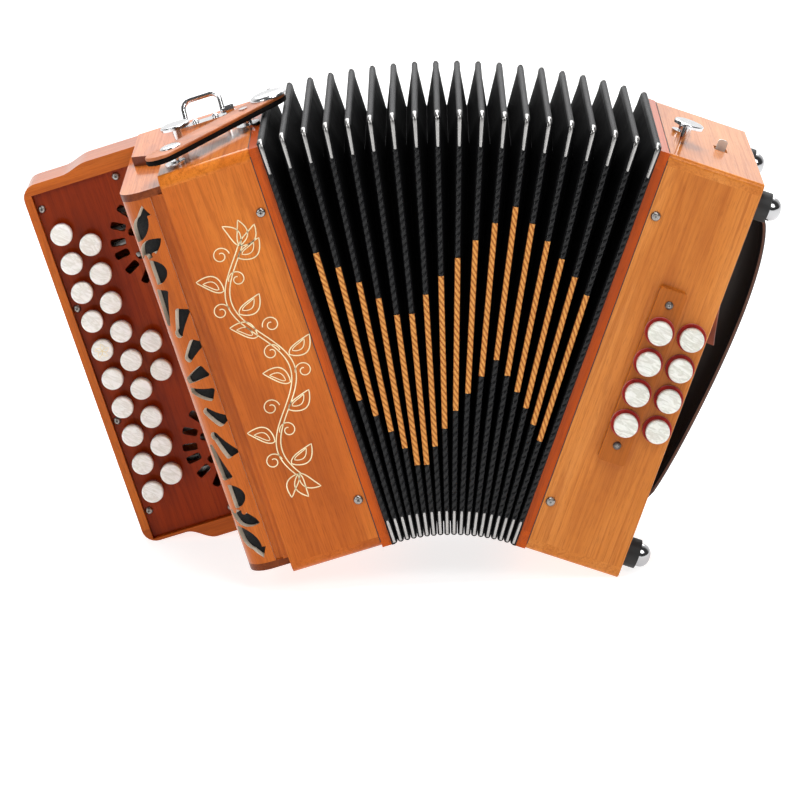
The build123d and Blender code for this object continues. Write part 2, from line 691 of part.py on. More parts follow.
def set_on_floor(nodes):
    """Bring every node to the shared frame: origin under the middle of the instrument."""
    placed = {name: Compound(children=[at * s for s in flat(solids)])
              for name, (solids, at) in nodes.items()}
    boxes = [c.bounding_box() for c in placed.values()]
    x0, x1 = min(b.min.X for b in boxes), max(b.max.X for b in boxes)
    y0, y1 = min(b.min.Y for b in boxes), max(b.max.Y for b in boxes)
    shift = Pos(-(x0 + x1) / 2, -(y0 + y1) / 2, -min(b.min.Z for b in boxes))
    return {name: shift * c for name, c in placed.items()}, shift


def flat(solids):
    return [s for item in solids for s in item.solids()]


PLACED, SHIFT = set_on_floor(build())
for name, compound in PLACED.items():
    export_step(compound, f"parts/{name}.step")
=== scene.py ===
"""Looks of a diatonic button accordion with fanned bellows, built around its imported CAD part."""

import json
import math

import bmesh
import bpy
import numpy as np
from mathutils import Matrix, Vector

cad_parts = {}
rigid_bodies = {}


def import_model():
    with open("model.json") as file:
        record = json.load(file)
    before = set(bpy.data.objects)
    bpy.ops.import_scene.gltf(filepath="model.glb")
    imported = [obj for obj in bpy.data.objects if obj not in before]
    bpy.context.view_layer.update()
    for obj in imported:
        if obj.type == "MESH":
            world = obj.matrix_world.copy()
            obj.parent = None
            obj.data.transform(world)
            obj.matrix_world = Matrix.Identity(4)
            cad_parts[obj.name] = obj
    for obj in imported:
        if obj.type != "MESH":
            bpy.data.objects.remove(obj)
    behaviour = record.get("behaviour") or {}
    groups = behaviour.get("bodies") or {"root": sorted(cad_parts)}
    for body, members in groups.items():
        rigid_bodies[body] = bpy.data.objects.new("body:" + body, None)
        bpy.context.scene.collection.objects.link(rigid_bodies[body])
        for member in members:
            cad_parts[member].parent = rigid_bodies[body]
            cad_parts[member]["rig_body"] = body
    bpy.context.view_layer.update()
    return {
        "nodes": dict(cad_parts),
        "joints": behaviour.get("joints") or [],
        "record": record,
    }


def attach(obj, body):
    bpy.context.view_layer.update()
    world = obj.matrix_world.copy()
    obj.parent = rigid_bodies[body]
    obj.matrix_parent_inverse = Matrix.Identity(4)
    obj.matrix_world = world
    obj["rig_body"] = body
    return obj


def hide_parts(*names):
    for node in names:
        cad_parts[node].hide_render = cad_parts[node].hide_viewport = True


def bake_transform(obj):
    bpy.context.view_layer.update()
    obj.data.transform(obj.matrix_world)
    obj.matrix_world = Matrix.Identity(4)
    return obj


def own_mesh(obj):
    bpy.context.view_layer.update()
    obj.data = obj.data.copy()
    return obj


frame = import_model()

NODES = frame["nodes"]
JOINTS = {j["name"]: j for j in frame["joints"]}
SLOT_OF = {s["node"]: s["material_slot"] for s in frame["record"]["subparts"]}

# ---- sizes in millimetres, the same as in the CAD part ----
HEIGHT, DEPTH, BOARD = 285.0, 163.0, 8.0
HALF = DEPTH / 2
FRAME_T, FRAME_RAIL = 7.0, 12.0
TREBLE_WIDTH, BASS_WIDTH = 69.0, 72.5
FOLD_PITCH, FOLD_DEPTH, FOLD_PROUD, END_FOLD = 4.4, 26.0, 3.0, 6.6
FOLD_DEPTH_BELOW, AMBER_LONG = 2.0, 104.0
FOLD_BODIES = 8
RIM_WIDE = 4.0
RIM_ROUND = 5.0
PLATE_V, KEYBOARD_FRONT = 134.0, 130.0
PLATE_LOW, PLATE_HIGH = 13.0, 272.7
COVER_U, COVER_R, COVER_LOW, COVER_HIGH, COVER_CAP = 98.5, 17.5, 6.5, 278.5, 5.0
AXLE_U = 84.0
# each treble row is (u, height of its top button, how many)
TREBLE_ROWS = {"outer": (161.3, 241.5, 10), "inner": (144.6, 228.7, 9), "third": (127.0, 151.2, 2)}
KEY_PITCH = 21.57
TREBLE_CAP_V, TREBLE_CAP_T = 124.0, 4.0
PLATE_SCREWS = [(169.5, 261), (169.5, 187), (169.5, 102), (169.5, 33), (113.6, 267.6), (113.6, 18.0)]
# each bass row is (u, v of the cap's face, height of its top button, v of the face its felt lies on)
BASS_ROWS = {"inner": (40.0, -13.0, 171.7, -5.0), "outer": (62.0, -8.2, 173.0, 0.0)}
BASS_PITCH = 22.1
RAIL_SCREWS = (89.0, 190.2)
PIN_U, PIN_W = 12.0, (242.8, 36.8)
STRAP_POST, STRAP_SNAP = (9.0, 71.0), (57.0, 22.0)
STRAP_W, STRAP_WIDTH = HEIGHT + 8.5, 22.0
STRAP_PAST_SNAP, STRAP_PAST_POST, STRAP_DISC = 20.0, 25.0, 24.0
HAND_LOW, HAND_HIGH, HAND_HALF, HAND_BOW = 44.0, 258.0, 40.0, 19.0
# widths of the screw and pin heads, how high they dome for their width, and their cross cuts
SCREW_HEAD, PIN_HEAD, DOME_SHARE = 5.6, 6.6, 0.32
SCREW_CROSS, PIN_CROSS, CROSS_PROUD = 1.15, 1.3, 0.03
# outside of a bellows rim: its front, its lowest and its highest line
RIM_FRONT, RIM_BOTTOM, RIM_TOP = HALF + FOLD_PROUD, 0.4, HEIGHT + FOLD_PROUD + 0.4
# slack in the tests that pick faces out by their place
NEAR = 0.01


# ---- local frames ----
def local_frame(x, z, tilt):
    """Millimetre frame of a body: x across the bellows, y to the back, z up its own height."""
    place = Matrix.Translation((x, HINGE_Y, z)) @ Matrix.Rotation(tilt, 4, "Y")
    return place @ Matrix.Scale(0.001, 4)


HINGE_POS = [Vector(JOINTS["bellows_fan" + (f"_{i}" if i > 1 else "")]["pos_m"])
             for i in range(1, FOLD_BODIES + 2)]
HINGE_Y = HINGE_POS[0].y
strap_axis = JOINTS["bellows_strap_swing"]["axis"]
air_axis = JOINTS["air_button_press"]["axis"]
TREBLE_TILT = math.atan2(strap_axis[0], strap_axis[2])
BASS_TILT = math.atan2(air_axis[2], -air_axis[0])


def beside(hinge, tilt, step):
    """Point in the row frame, `step` millimetres along the tilted x axis from a hinge."""
    return hinge.x + 0.001 * step * math.cos(tilt), hinge.z - 0.001 * step * math.sin(tilt)


TREBLE = local_frame(*beside(HINGE_POS[0], TREBLE_TILT, -END_FOLD), TREBLE_TILT)
BASS = local_frame(*beside(HINGE_POS[-1], BASS_TILT, END_FOLD), BASS_TILT)


def fold_centres():
    """(x, z, tilt, body) of the treble end fold, the fold pairs and the bass end fold."""
    out = [(*beside(HINGE_POS[0], TREBLE_TILT, -END_FOLD + FOLD_PITCH / 2), TREBLE_TILT, "treble_side")]
    for i in range(FOLD_BODIES):
        a, b = HINGE_POS[i], HINGE_POS[i + 1]
        out.append(((a.x + b.x) / 2, (a.z + b.z) / 2, math.atan2(a.z - b.z, b.x - a.x), f"fold_{i + 1}"))
    out.append((*beside(HINGE_POS[-1], BASS_TILT, END_FOLD - FOLD_PITCH / 2), BASS_TILT, "bass_side"))
    return out


# ---- mesh helpers ----
def new_object(name, data):
    """Object put into the scene."""
    obj = bpy.data.objects.new(name, data)
    bpy.context.scene.collection.objects.link(obj)
    return obj


class Shape:
    """Vertices and faces gathered piece by piece."""

    def __init__(self):
        self.verts, self.faces = [], []

    def grid(self, rows, close_rows=False, close_cols=False, flip=False):
        """Quads over a grid of points, given as rows of equal length."""
        base, n, m = len(self.verts), len(rows), len(rows[0])
        for row in rows:
            self.verts += [tuple(p) for p in row]
        for i in range(n if close_rows else n - 1):
            for j in range(m if close_cols else m - 1):
                a, b = base + i * m + j, base + i * m + (j + 1) % m
                c, d = base + ((i + 1) % n) * m + (j + 1) % m, base + ((i + 1) % n) * m + j
                self.faces.append((a, d, c, b) if flip else (a, b, c, d))

    def cap(self, points, flip=False):
        """One face over a loop of points."""
        base = len(self.verts)
        self.verts += [tuple(p) for p in points]
        order = list(range(base, base + len(points)))
        self.faces.append(tuple(order[::-1] if flip else order))

    def bar(self, rows, **closing):
        """Grid with a face over its first and its last row."""
        self.grid(rows, **closing)
        self.cap(rows[0], flip=True)
        self.cap(rows[-1])

    def build(self, name, place, materials, slot):
        """Smooth mesh object in the frame `place`; the slot argument is not used."""
        mesh = bpy.data.meshes.new(name)
        mesh.from_pydata([place @ Vector(v) for v in self.verts], [], self.faces)
        mesh.validate()
        obj = new_object(name, mesh)
        for m in materials if isinstance(materials, (list, tuple)) else [materials]:
            mesh.materials.append(m)
        mesh.polygons.foreach_set("use_smooth", [True] * len(mesh.polygons))
        return obj


def weld(obj):
    """Joins points that fall together, so normals run smoothly across pieces."""
    bm = bmesh.new()
    bm.from_mesh(obj.data)
    bmesh.ops.remove_doubles(bm, verts=bm.verts, dist=1e-6)
    bmesh.ops.recalc_face_normals(bm, faces=bm.faces)
    bm.to_mesh(obj.data)
    bm.free()


def sharp_by_angle(obj, degrees=35.0):
    """Keeps edges sharper than this angle crisp."""
    bm = bmesh.new()
    bm.from_mesh(obj.data)
    limit = math.radians(degrees)
    for e in bm.edges:
        if len(e.link_faces) == 2:
            e.smooth = e.calc_face_angle(0.0) < limit
    bm.to_mesh(obj.data)
    bm.free()


# ---- materials ----
def srgb(text):
    """Linear colour of a hex sRGB one."""
    parts = [int(text[i:i + 2], 16) / 255 for i in (0, 2, 4)]
    return tuple(c / 12.92 if c <= 0.04045 else ((c + 0.055) / 1.055) ** 2.4 for c in parts) + (1.0,)


PER_METRE = 1000.0
SOCKETS = {"base": "Base Color", "rough": "Roughness", "metal": "Metallic", "coat": "Coat Weight",
           "coat_rough": "Coat Roughness", "coat_ior": "Coat IOR", "spec": "Specular IOR Level",
           "sheen": "Sheen Weight", "sheen_rough": "Sheen Roughness", "subsurface": "Subsurface Weight",
           "ior": "IOR"}


def scaled(colour, by):
    """The same colour, darker or lighter."""
    return tuple(by * c for c in colour[:3]) + (1,)


class Nodes:
    """Short calls for building one node material; lengths in it are metres at rest."""

    def __init__(self, name):
        self.mat = bpy.data.materials.new(name)
        self.mat.use_nodes = True
        self.tree = self.mat.node_tree
        self.shader = self.tree.nodes["Principled BSDF"]

    def add(self, kind, **values):
        node = self.tree.nodes.new(kind)
        for key, value in values.items():
            if key.startswith("in_"):
                node.inputs[key[3:].replace("_", " ")].default_value = value
            else:
                setattr(node, key, value)
        return node

    def link(self, a, b):
        self.tree.links.new(a, b)

    def feed(self, socket, value):
        """Sets a socket to a value, or joins another node's output to it."""
        if isinstance(value, (tuple, float, int)):
            socket.default_value = value
        else:
            self.link(value, socket)

    def coords(self, tilt=0.0, scale=(1, 1, 1), seed=0.0):
        """Rest coordinates in metres, turned to the tilted body and stretched."""
        tex = self.add("ShaderNodeTexCoord")
        turn = self.add("ShaderNodeMapping")
        turn.inputs["Rotation"].default_value = (0, -tilt, 0)
        turn.inputs["Location"].default_value = (seed, seed * 0.7, seed * 1.3)
        stretch = self.add("ShaderNodeMapping")
        stretch.inputs["Scale"].default_value = scale
        self.link(tex.outputs["Object"], turn.inputs["Vector"])
        self.link(turn.outputs["Vector"], stretch.inputs["Vector"])
        return stretch.outputs["Vector"]

    def noise(self, vector, detail, rough, distortion=0.0):
        """Noise whose grain is set by how the coordinates were stretched."""
        node = self.add("ShaderNodeTexNoise", in_Scale=1.0, in_Detail=detail,
                        in_Roughness=rough, in_Distortion=distortion)
        self.link(vector, node.inputs["Vector"])
        return node.outputs["Fac"]

    def even(self, per_metre, detail, rough):
        """Noise of the same grain in every direction."""
        return self.noise(self.coords(0, (per_metre,) * 3), detail, rough)

    def cells(self, per_metre):
        """Distance from the middle of each cell, with that many cells to the metre."""
        node = self.add("ShaderNodeTexVoronoi", feature="F1", in_Scale=1.0)
        self.link(self.coords(0, (per_metre,) * 3), node.inputs["Vector"])
        return node.outputs["Distance"]

    def axes(self):
        """X, Y and Z at rest."""
        node = self.add("ShaderNodeSeparateXYZ")
        self.link(self.coords(0, (1, 1, 1)), node.inputs["Vector"])
        return node.outputs

    def ramp(self, value, *stops):
        node = self.add("ShaderNodeValToRGB")
        while len(node.color_ramp.elements) < len(stops):
            node.color_ramp.elements.new(0.5)
        for element, (position, colour) in zip(node.color_ramp.elements, stops):
            element.position = position
            element.color = colour if isinstance(colour, tuple) else (colour, colour, colour, 1)
        self.link(value, node.inputs["Fac"])
        return node.outputs["Color"]

    def mix(self, a, b, factor):
        node = self.add("ShaderNodeMix", data_type="RGBA")
        for socket, value in ((node.inputs[6], a), (node.inputs[7], b), (node.inputs[0], factor)):
            self.feed(socket, value)
        return node.outputs[2]

    def math(self, op, a, b=0.0):
        node = self.add("ShaderNodeMath", operation=op)
        for socket, value in zip(node.inputs, (a, b)):
            self.feed(socket, value)
        return node.outputs[0]

    def bump(self, height, strength, distance):
        node = self.add("ShaderNodeBump", in_Strength=strength, in_Distance=distance)
        self.link(height, node.inputs["Height"])
        if self.shader.inputs["Normal"].is_linked:
            old = self.shader.inputs["Normal"].links[0].from_socket
            self.link(old, node.inputs["Normal"])
        self.link(node.outputs["Normal"], self.shader.inputs["Normal"])

    def set(self, **values):
        for key, value in values.items():
            self.feed(self.shader.inputs[SOCKETS[key]], value)
        return self.mat


def wood(name, tilt, grain, tones, seed=0.0, gloss=1.0, figure=0.6):
    """Lacquered wood with its grain along local x, y or z; tones are pale, middle and dark sRGB."""
    n = Nodes(name)
    pale, mid, dark = [srgb(tone) for tone in tones.split()]
    along = {"x": 0, "y": 1, "z": 2}[grain]

    def stretched(across, along_scale):
        scale = [across] * 3
        scale[along] = along_scale
        return tuple(scale)

    cloud = n.noise(n.coords(tilt, stretched(20, 4), seed), 3.0, 0.55, 0.5)
    soft_dark = tuple(0.55 * a + 0.45 * b for a, b in zip(dark, mid))
    tone = n.ramp(cloud, (0.28, soft_dark), (0.5, mid), (0.72, pale))
    wide = n.noise(n.coords(tilt, stretched(34, 2.4), seed + 3), 4.0, 0.55, 0.5)
    bands = n.math("SINE", n.math("MULTIPLY", wide, 44.0))
    band_mask = n.ramp(bands, (0.45, 0.0), (1.0, 1.0))
    streaks = n.noise(n.coords(tilt, stretched(620, 9), seed + 5), 4.0, 0.68)
    streak_mask = n.ramp(streaks, (0.47, 0.0), (0.66, 1.0))
    pores = n.noise(n.coords(tilt, stretched(2600, 110), seed + 9), 2.0, 0.5)
    pore_mask = n.ramp(pores, (0.57, 0.0), (0.66, 1.0))
    deep = scaled(dark, 0.55)
    colour = n.mix(tone, dark, n.math("MULTIPLY", band_mask, 0.42 * figure))
    colour = n.mix(colour, dark, n.math("MULTIPLY", streak_mask, 0.42))
    colour = n.mix(colour, deep, n.math("MULTIPLY", pore_mask, 0.30))
    n.bump(n.math("ADD", streaks, n.math("MULTIPLY", pores, 0.6)), 0.05, 0.0002)
    return n.set(base=colour, rough=n.ramp(streaks, (0.3, 0.30), (0.8, 0.42)), spec=0.3, ior=1.2,
                 coat=gloss, coat_rough=0.10, coat_ior=1.2)


def metal(name, colour, rough):
    """Plated or bare metal with slight clouding and hairline scratches."""
    n = Nodes(name)
    fine = n.even(900, 3.0, 0.6)
    cloud = n.even(120, 2.0, 0.5)
    tone = n.mix(colour, scaled(colour, 0.72), n.math("MULTIPLY", cloud, 0.5))
    n.bump(fine, 0.15, 0.00005)
    return n.set(base=tone, metal=1.0, rough=n.ramp(cloud, (0.3, rough), (0.7, rough * 1.7)))


def cloth(name, colour, dark, weave, sheen):
    """Woven or felted cloth, with threads every `weave` millimetres."""
    n = Nodes(name)
    wave = PER_METRE * 2 * math.pi / weave
    at_rest = n.axes()
    warp = n.math("SINE", n.math("MULTIPLY", n.math("ADD", at_rest["X"], at_rest["Y"]), wave))
    weft = n.math("SINE", n.math("MULTIPLY", at_rest["Z"], wave))
    fuzz = n.even(700, 4.0, 0.7)
    height = n.math("ADD", n.math("MULTIPLY", n.math("MULTIPLY", warp, weft), 0.5), fuzz)
    colour_out = n.mix(dark, colour, n.ramp(fuzz, (0.3, 0.0), (0.7, 1.0)))
    n.bump(height, 0.5, 0.0003)
    return n.set(base=colour_out, rough=0.85, sheen=sheen, sheen_rough=0.4, spec=0.2)


def felt(name, colour, dark, sheen=0.5):
    """Pressed wool or suede with a short nap."""
    n = Nodes(name)
    fuzz = n.even(1500, 5.0, 0.75)
    cloud = n.even(220, 3.0, 0.6)
    n.bump(fuzz, 0.8, 0.0004)
    return n.set(base=n.mix(dark, colour, n.ramp(n.math("MULTIPLY", n.math("ADD", fuzz, cloud), 0.5),
                                                 (0.35, 0.0), (0.62, 1.0))),
                 rough=0.95, sheen=sheen, sheen_rough=0.5, spec=0.1)


def leather(name, colour, dark, rough, grain, coat):
    """Leather with `grain` cells to the metre, wrinkles and wear."""
    n = Nodes(name)
    cells = n.cells(grain)
    wrinkle = n.even(110, 5.0, 0.6)
    wear = n.even(35, 4.0, 0.65)
    height = n.math("ADD", cells, n.math("MULTIPLY", wrinkle, 1.3))
    n.bump(height, 0.35, 0.0004)
    tone = n.mix(dark, colour, n.ramp(wear, (0.30, 0.0), (0.62, 1.0)))
    pits = n.ramp(cells, (0.0, 1.0), (0.25, 0.0))
    tone = n.mix(tone, dark, n.math("MULTIPLY", pits, 0.35))
    return n.set(base=tone, rough=n.ramp(wrinkle, (0.3, rough * 0.8), (0.7, rough * 1.25)), coat=coat,
                 coat_rough=0.3, spec=0.4)


def leatherette(name, colour, spec, rough=0.42):
    """Thin black bellows cloth with a fine pebbled face."""
    n = Nodes(name)
    cells = n.cells(1100)
    cloud = n.even(60, 4.0, 0.6)
    n.bump(cells, 0.3, 0.0002)
    tone = n.mix(colour, scaled(colour, 1.8), cloud)
    return n.set(base=tone, rough=n.ramp(cloud, (0.3, rough), (0.7, rough * 1.3)), spec=spec)


def ribbed_tape(name, colour, pitch):
    """Bellows edge tape, ribbed across every `pitch` millimetres of its run to the back, with painted shade
    between its ribs.
    """
    n = Nodes(name)
    ribs = n.math("SINE", n.math("MULTIPLY", n.axes()["Y"], PER_METRE * 2 * math.pi / pitch))
    fuzz = n.even(900, 3.0, 0.6)
    # painted shade between the ribs, mixed with random darker flecks from the fuzz
    mask = n.ramp(n.math("ADD", n.math("MULTIPLY", ribs, 0.35), fuzz), (0.2, 0.0), (0.85, 1.0))
    n.bump(n.math("ADD", ribs, n.math("MULTIPLY", fuzz, 0.4)), 0.6, 0.0003)
    dark = scaled(colour, 0.45)
    return n.set(base=n.mix(dark, colour, mask), rough=0.6, spec=0.35)


def braid(name, ridge, groove_shade, spec, rough):
    """Plaited tape; the mesh carries how high each point stands in its relief attribute, and its low points
    are painted in the dark groove colour as painted shade.
    """
    n = Nodes(name)
    relief = n.add("ShaderNodeAttribute", attribute_name="relief")
    fuzz = n.even(1400, 4.0, 0.7)
    cloud = n.even(60, 3.0, 0.6)
    # painted shade: the lower a point stands, the nearer its colour goes to the dark groove shade
    mask = n.ramp(relief.outputs["Fac"], (0.35, 0.0), (0.8, 1.0))
    tone = n.mix(groove_shade, ridge, mask)
    tone = n.mix(tone, groove_shade, n.math("MULTIPLY", n.ramp(fuzz, (0.35, 1.0), (0.6, 0.0)), 0.3))
    tone = n.mix(tone, scaled(ridge, 1.3), n.math("MULTIPLY", cloud, 0.35))
    n.bump(fuzz, 0.35, 0.0002)
    return n.set(base=tone, rough=rough, spec=spec)


def pearl(name, white, shade, seed=0.0):
    """Mother-of-pearl look celluloid with soft drifting bands."""
    n = Nodes(name)
    swirl = n.noise(n.coords(0.5, (90, 120, 330), seed), 3.0, 0.5, 1.2)
    fine = n.noise(n.coords(-0.4, (420, 260, 120), seed + 2), 3.0, 0.5, 1.0)
    tone = n.mix(white, shade, n.ramp(swirl, (0.42, 0.0), (0.56, 0.75), (0.66, 0.1)))
    tone = n.mix(tone, shade, n.math("MULTIPLY", n.ramp(fine, (0.45, 0.0), (0.7, 1.0)), 0.25))
    n.bump(fine, 0.04, 0.0001)
    return n.set(base=tone, rough=0.22, coat=0.8, coat_rough=0.05, subsurface=0.08, spec=0.5)


def plastic(name, colour, rough, bump=0.1):
    """Rubber or plastic with a fine matt skin."""
    n = Nodes(name)
    fine = n.even(1200, 3.0, 0.6)
    cloud = n.even(80, 3.0, 0.6)
    n.bump(fine, bump, 0.0002)
    tone = n.mix(colour, scaled(colour, 1.5), n.math("MULTIPLY", cloud, 0.4))
    return n.set(base=tone, rough=n.ramp(cloud, (0.3, rough), (0.7, rough * 1.25)))


CHERRY = "d57a2c c4641e 92400c"
BASS_CHERRY = "dc9049 ce7c33 9e4d14"
RIM_CHERRY = "c86c20 b65915 8a3a08"
RED_CHERRY = "cc5a0c bd4d05 903400"
PLATE_CHERRY = "a5440e 903004 661e02"
# pale, nearly white tones for the fretwork's cut edges: a painted highlight where their thickness catches the
# light
CUT_EDGE_HIGHLIGHT = "efe3d2 d9cbb8 b09f8c"
RAIL_CHERRY = "c27026 b3611b 86420c"

M = {}
for side, tilt, tones in (("treble", TREBLE_TILT, CHERRY), ("bass", BASS_TILT, BASS_CHERRY)):
    for grain in "xyz":
        M[f"{side}_{grain}"] = wood(f"cherry_{side}_{grain}", tilt, grain, tones,
                                    seed=1.7 if side == "treble" else 4.2)
        M[f"{side}_red_{grain}"] = wood(f"frame_cherry_{side}_{grain}", tilt, grain, RED_CHERRY, seed=2.6,
                                        figure=0.3)
for grain in "xz":
    M[f"rim_{grain}"] = wood(f"keyboard_cherry_{grain}", TREBLE_TILT, grain, RIM_CHERRY, seed=8.1)
M["plate"] = wood("plate_cherry", TREBLE_TILT, "z", PLATE_CHERRY, seed=3.3, gloss=0.5)
M["edge"] = wood("cut_edges_highlight", TREBLE_TILT, "z", CUT_EDGE_HIGHLIGHT, seed=5.0, gloss=0.3, figure=0.2)
M["spruce"] = wood("spruce", TREBLE_TILT, "z", "e2c79a d6b680 b58c55", gloss=0.1)
M["reed_wood"] = wood("reed_block_wood", BASS_TILT, "z", "d8b48a c79c6c 9c7245", gloss=0.1)
M["rail"] = wood("bass_rail_cherry", BASS_TILT, "z", RAIL_CHERRY, seed=6.4, figure=0.4)
M["cap_brown"] = wood("end_cap_brown", TREBLE_TILT, "y", "8a4520 6f3214 4a1e0a", gloss=0.5)
M["chrome"] = metal("chrome", (0.74, 0.74, 0.75, 1), 0.13)
M["satin"] = metal("satin_nickel", (0.44, 0.43, 0.42, 1), 0.22)
M["steel"] = metal("steel", (0.34, 0.32, 0.30, 1), 0.22)
M["dark_steel"] = metal("dark_screws", (0.16, 0.14, 0.13, 1), 0.32)
M["reed_metal"] = metal("reed_plate_metal", (0.66, 0.66, 0.68, 1), 0.35)
M["gold"] = metal("gold_line", (0.93, 0.80, 0.50, 1), 0.35)
M["pearl"] = pearl("pearl_buttons", srgb("faf8f3"), srgb("dcd8cd"))
M["bass_pearl"] = pearl("bass_pearl_buttons", srgb("ece9e1"), srgb("c3beb0"), seed=6.0)
M["rubber"] = plastic("rubber", (0.007, 0.007, 0.0075, 1), 0.5, 0.3)
M["stop"] = metal("stop_knob", (0.86, 0.85, 0.81, 1), 0.5)
M["dome"] = metal("foot_dome_chrome", (0.50, 0.50, 0.51, 1), 0.08)
M["bellows_wall"] = leatherette("bellows_wall", (0.0025, 0.0025, 0.0027, 1), 0.05, 0.6)
M["bellows_bead"] = leatherette("bellows_bead", (0.004, 0.004, 0.0045, 1), 0.12, 0.5)
M["bellows_board"] = leatherette("bellows_board", (0.006, 0.006, 0.006, 1), 0.2)
M["tape_ribs"] = ribbed_tape("bellows_top_tape", (0.040, 0.040, 0.042, 1), 1.3)
# the second colour of each braid is painted shade for its grooves and its wrapped sides
M["black_braid"] = braid("bellows_braid", (0.010, 0.010, 0.011, 1), (0.0006, 0.0006, 0.0006, 1), 0.22, 0.26)
M["amber_braid"] = braid("amber_braid", srgb("dc9a4e"), srgb("8a3c0c"), 0.2, 0.5)
M["red_felt"] = felt("felt_red", srgb("b8241a"), srgb("7a0f0c"))
M["dark_felt"] = felt("felt_dark_red", srgb("7c1c12"), srgb("4a0c08"))
M["pallet_felt"] = felt("pallet_felt", srgb("8a2318"), srgb("5a100c"))
M["tan"] = leather("tan_leather", srgb("b5652d"), srgb("8a431a"), 0.45, 520.0, 0.25)
# near-black suede: its own dark colour, darkened further as painted shade for the hand strap's shadowed
# inside
M["suede"] = felt("strap_suede", (0.005, 0.003, 0.003, 1), (0.0015, 0.001, 0.001, 1), 0.03)
M["brown_leather"] = leather("brown_leather", (0.014, 0.007, 0.005, 1), (0.005, 0.003, 0.002, 1),
                             0.5, 480.0, 0.1)
M["brown_edge"] = leather("brown_leather_edge", srgb("6a4330"), srgb("43241a"), 0.55, 900.0, 0.1)
M["tongue"] = leather("strap_tongue_leather", srgb("8e4422"), srgb("6a2a10"), 0.5, 600.0, 0.1)
M["thread"] = cloth("stitch_thread", srgb("a8703f"), srgb("6e4322"), 0.5, 0.2)
M["grille_cloth"] = cloth("grille_cloth", (0.016, 0.016, 0.017, 1), (0.005, 0.005, 0.005, 1), 0.9, 0.15)
M["gasket"] = plastic("gasket", (0.010, 0.009, 0.009, 1), 0.5)

BY_SLOT = {"cherry": "treble_z", "frame_cherry": "treble_red_z", "grille_cherry": "treble_z",
           "plate_cherry": "plate", "spruce": "spruce", "reed_wood": "reed_wood", "steel": "steel",
           "chrome": "chrome", "pearl_buttons": "pearl", "bass_pearl": "bass_pearl",
           "bellows_board": "bellows_board", "tan_leather": "tan", "brown_leather": "brown_leather",
           "rubber": "rubber", "bellows_cloth": "bellows_wall", "felt_red": "red_felt"}


# ---- CAD nodes get their finish ----
def paint(node, base, *rules):
    """Materials of a CAD node; each rule is (material, test) over the local face centres and normals.

    The tests see u outwards from the bellows, v from the front panel, w up, and the local normal.
    """
    obj = NODES[node]
    on_bass = obj["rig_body"] == "bass_side" or node.startswith("bass")
    side = BASS if on_bass or node in ("hand_strap", "air_button", "thirds_stop") else TREBLE
    mesh = obj.data
    count = len(mesh.polygons)
    centre, normal = np.zeros(count * 3), np.zeros(count * 3)
    mesh.polygons.foreach_get("center", centre)
    mesh.polygons.foreach_get("normal", normal)
    back = np.array(side.inverted())
    turn = back[:3, :3] * 0.001
    local = centre.reshape(-1, 3) @ back[:3, :3].T + back[:3, 3]
    n = normal.reshape(-1, 3) @ turn.T
    n /= np.maximum(np.linalg.norm(n, axis=1, keepdims=True), 1e-9)
    u = -local[:, 0] if side is TREBLE else local[:, 0]
    facts = {"u": u, "v": local[:, 1] + HALF, "w": local[:, 2], "n": n}
    index = np.zeros(count, int)
    mesh.materials.clear()
    mesh.materials.append(M[base])
    for k, (material, test) in enumerate(rules):
        mesh.materials.append(M[material])
        index[test(**facts)] = k + 1
    mesh.polygons.foreach_set("material_index", index)
    mesh.update()


for node, slot in SLOT_OF.items():
    paint(node, BY_SLOT[slot])


def on_board(u, v, w, n):
    """Top and bottom boards of a case."""
    return (w > HEIGHT - BOARD - NEAR) | (w < BOARD + NEAR)


def on_frame_board(u, v, w, n):
    """Top and bottom rails of a bellows frame."""
    return (w > HEIGHT - FRAME_RAIL - NEAR) | (w < FRAME_RAIL + NEAR)


def on_box_board(u, v, w, n):
    """Top board and foot of the keyboard box."""
    return (w > PLATE_HIGH - BOARD - NEAR) | (w < PLATE_LOW + BOARD + NEAR)


def on_cover_cap(u, v, w, n):
    """End caps of the pallet cover."""
    return (w < COVER_LOW + COVER_CAP + NEAR) | (w > COVER_HIGH - COVER_CAP - NEAR)


def rail_screw(u, v, w, n):
    """The two dark screws of the bass button rail."""
    return (np.abs(u - BASS_ROWS["inner"][0]) < 5) & (v < 6) & (w < HEIGHT - 40)


def bass_pin(u, v, w, n):
    """Heads of the bellows pins in the bass case."""
    return (u < PIN_U + 5) & (np.abs(v - HALF) > 40) & (w < HEIGHT - 1)


paint("treble_case", "treble_z", ("treble_y", on_board),
      ("cap_brown", lambda u, v, w, n: (u > TREBLE_WIDTH + NEAR) & (v > 60) & (n[:, 1] < -0.3)))
paint("bass_case", "bass_z", ("bass_y", on_board), ("bass_z", lambda u, v, w, n: u > BASS_WIDTH - 5.05))
for side in ("treble", "bass"):
    paint(f"{side}_bellows_frame", f"{side}_red_z",
          (f"{side}_red_y", on_frame_board),
          ("bellows_board", lambda u, v, w, n: u < 0.05))
paint("keyboard_box", "rim_z", ("rim_x", on_box_board))


def grille_cut(u, v, w, n):
    """Faces of the fretwork that aren't its outer or inner skin."""
    cu, cv = COVER_U - COVER_R, COVER_R + 5.0
    du, dv = np.where(v < cv, u - cu, 1.0), np.where(v < cv, v - cv, 0.0)
    length = np.maximum(np.hypot(du, dv), 1e-6)
    facing = np.abs(-n[:, 0] * du / length + n[:, 1] * dv / length)
    return facing < 0.6


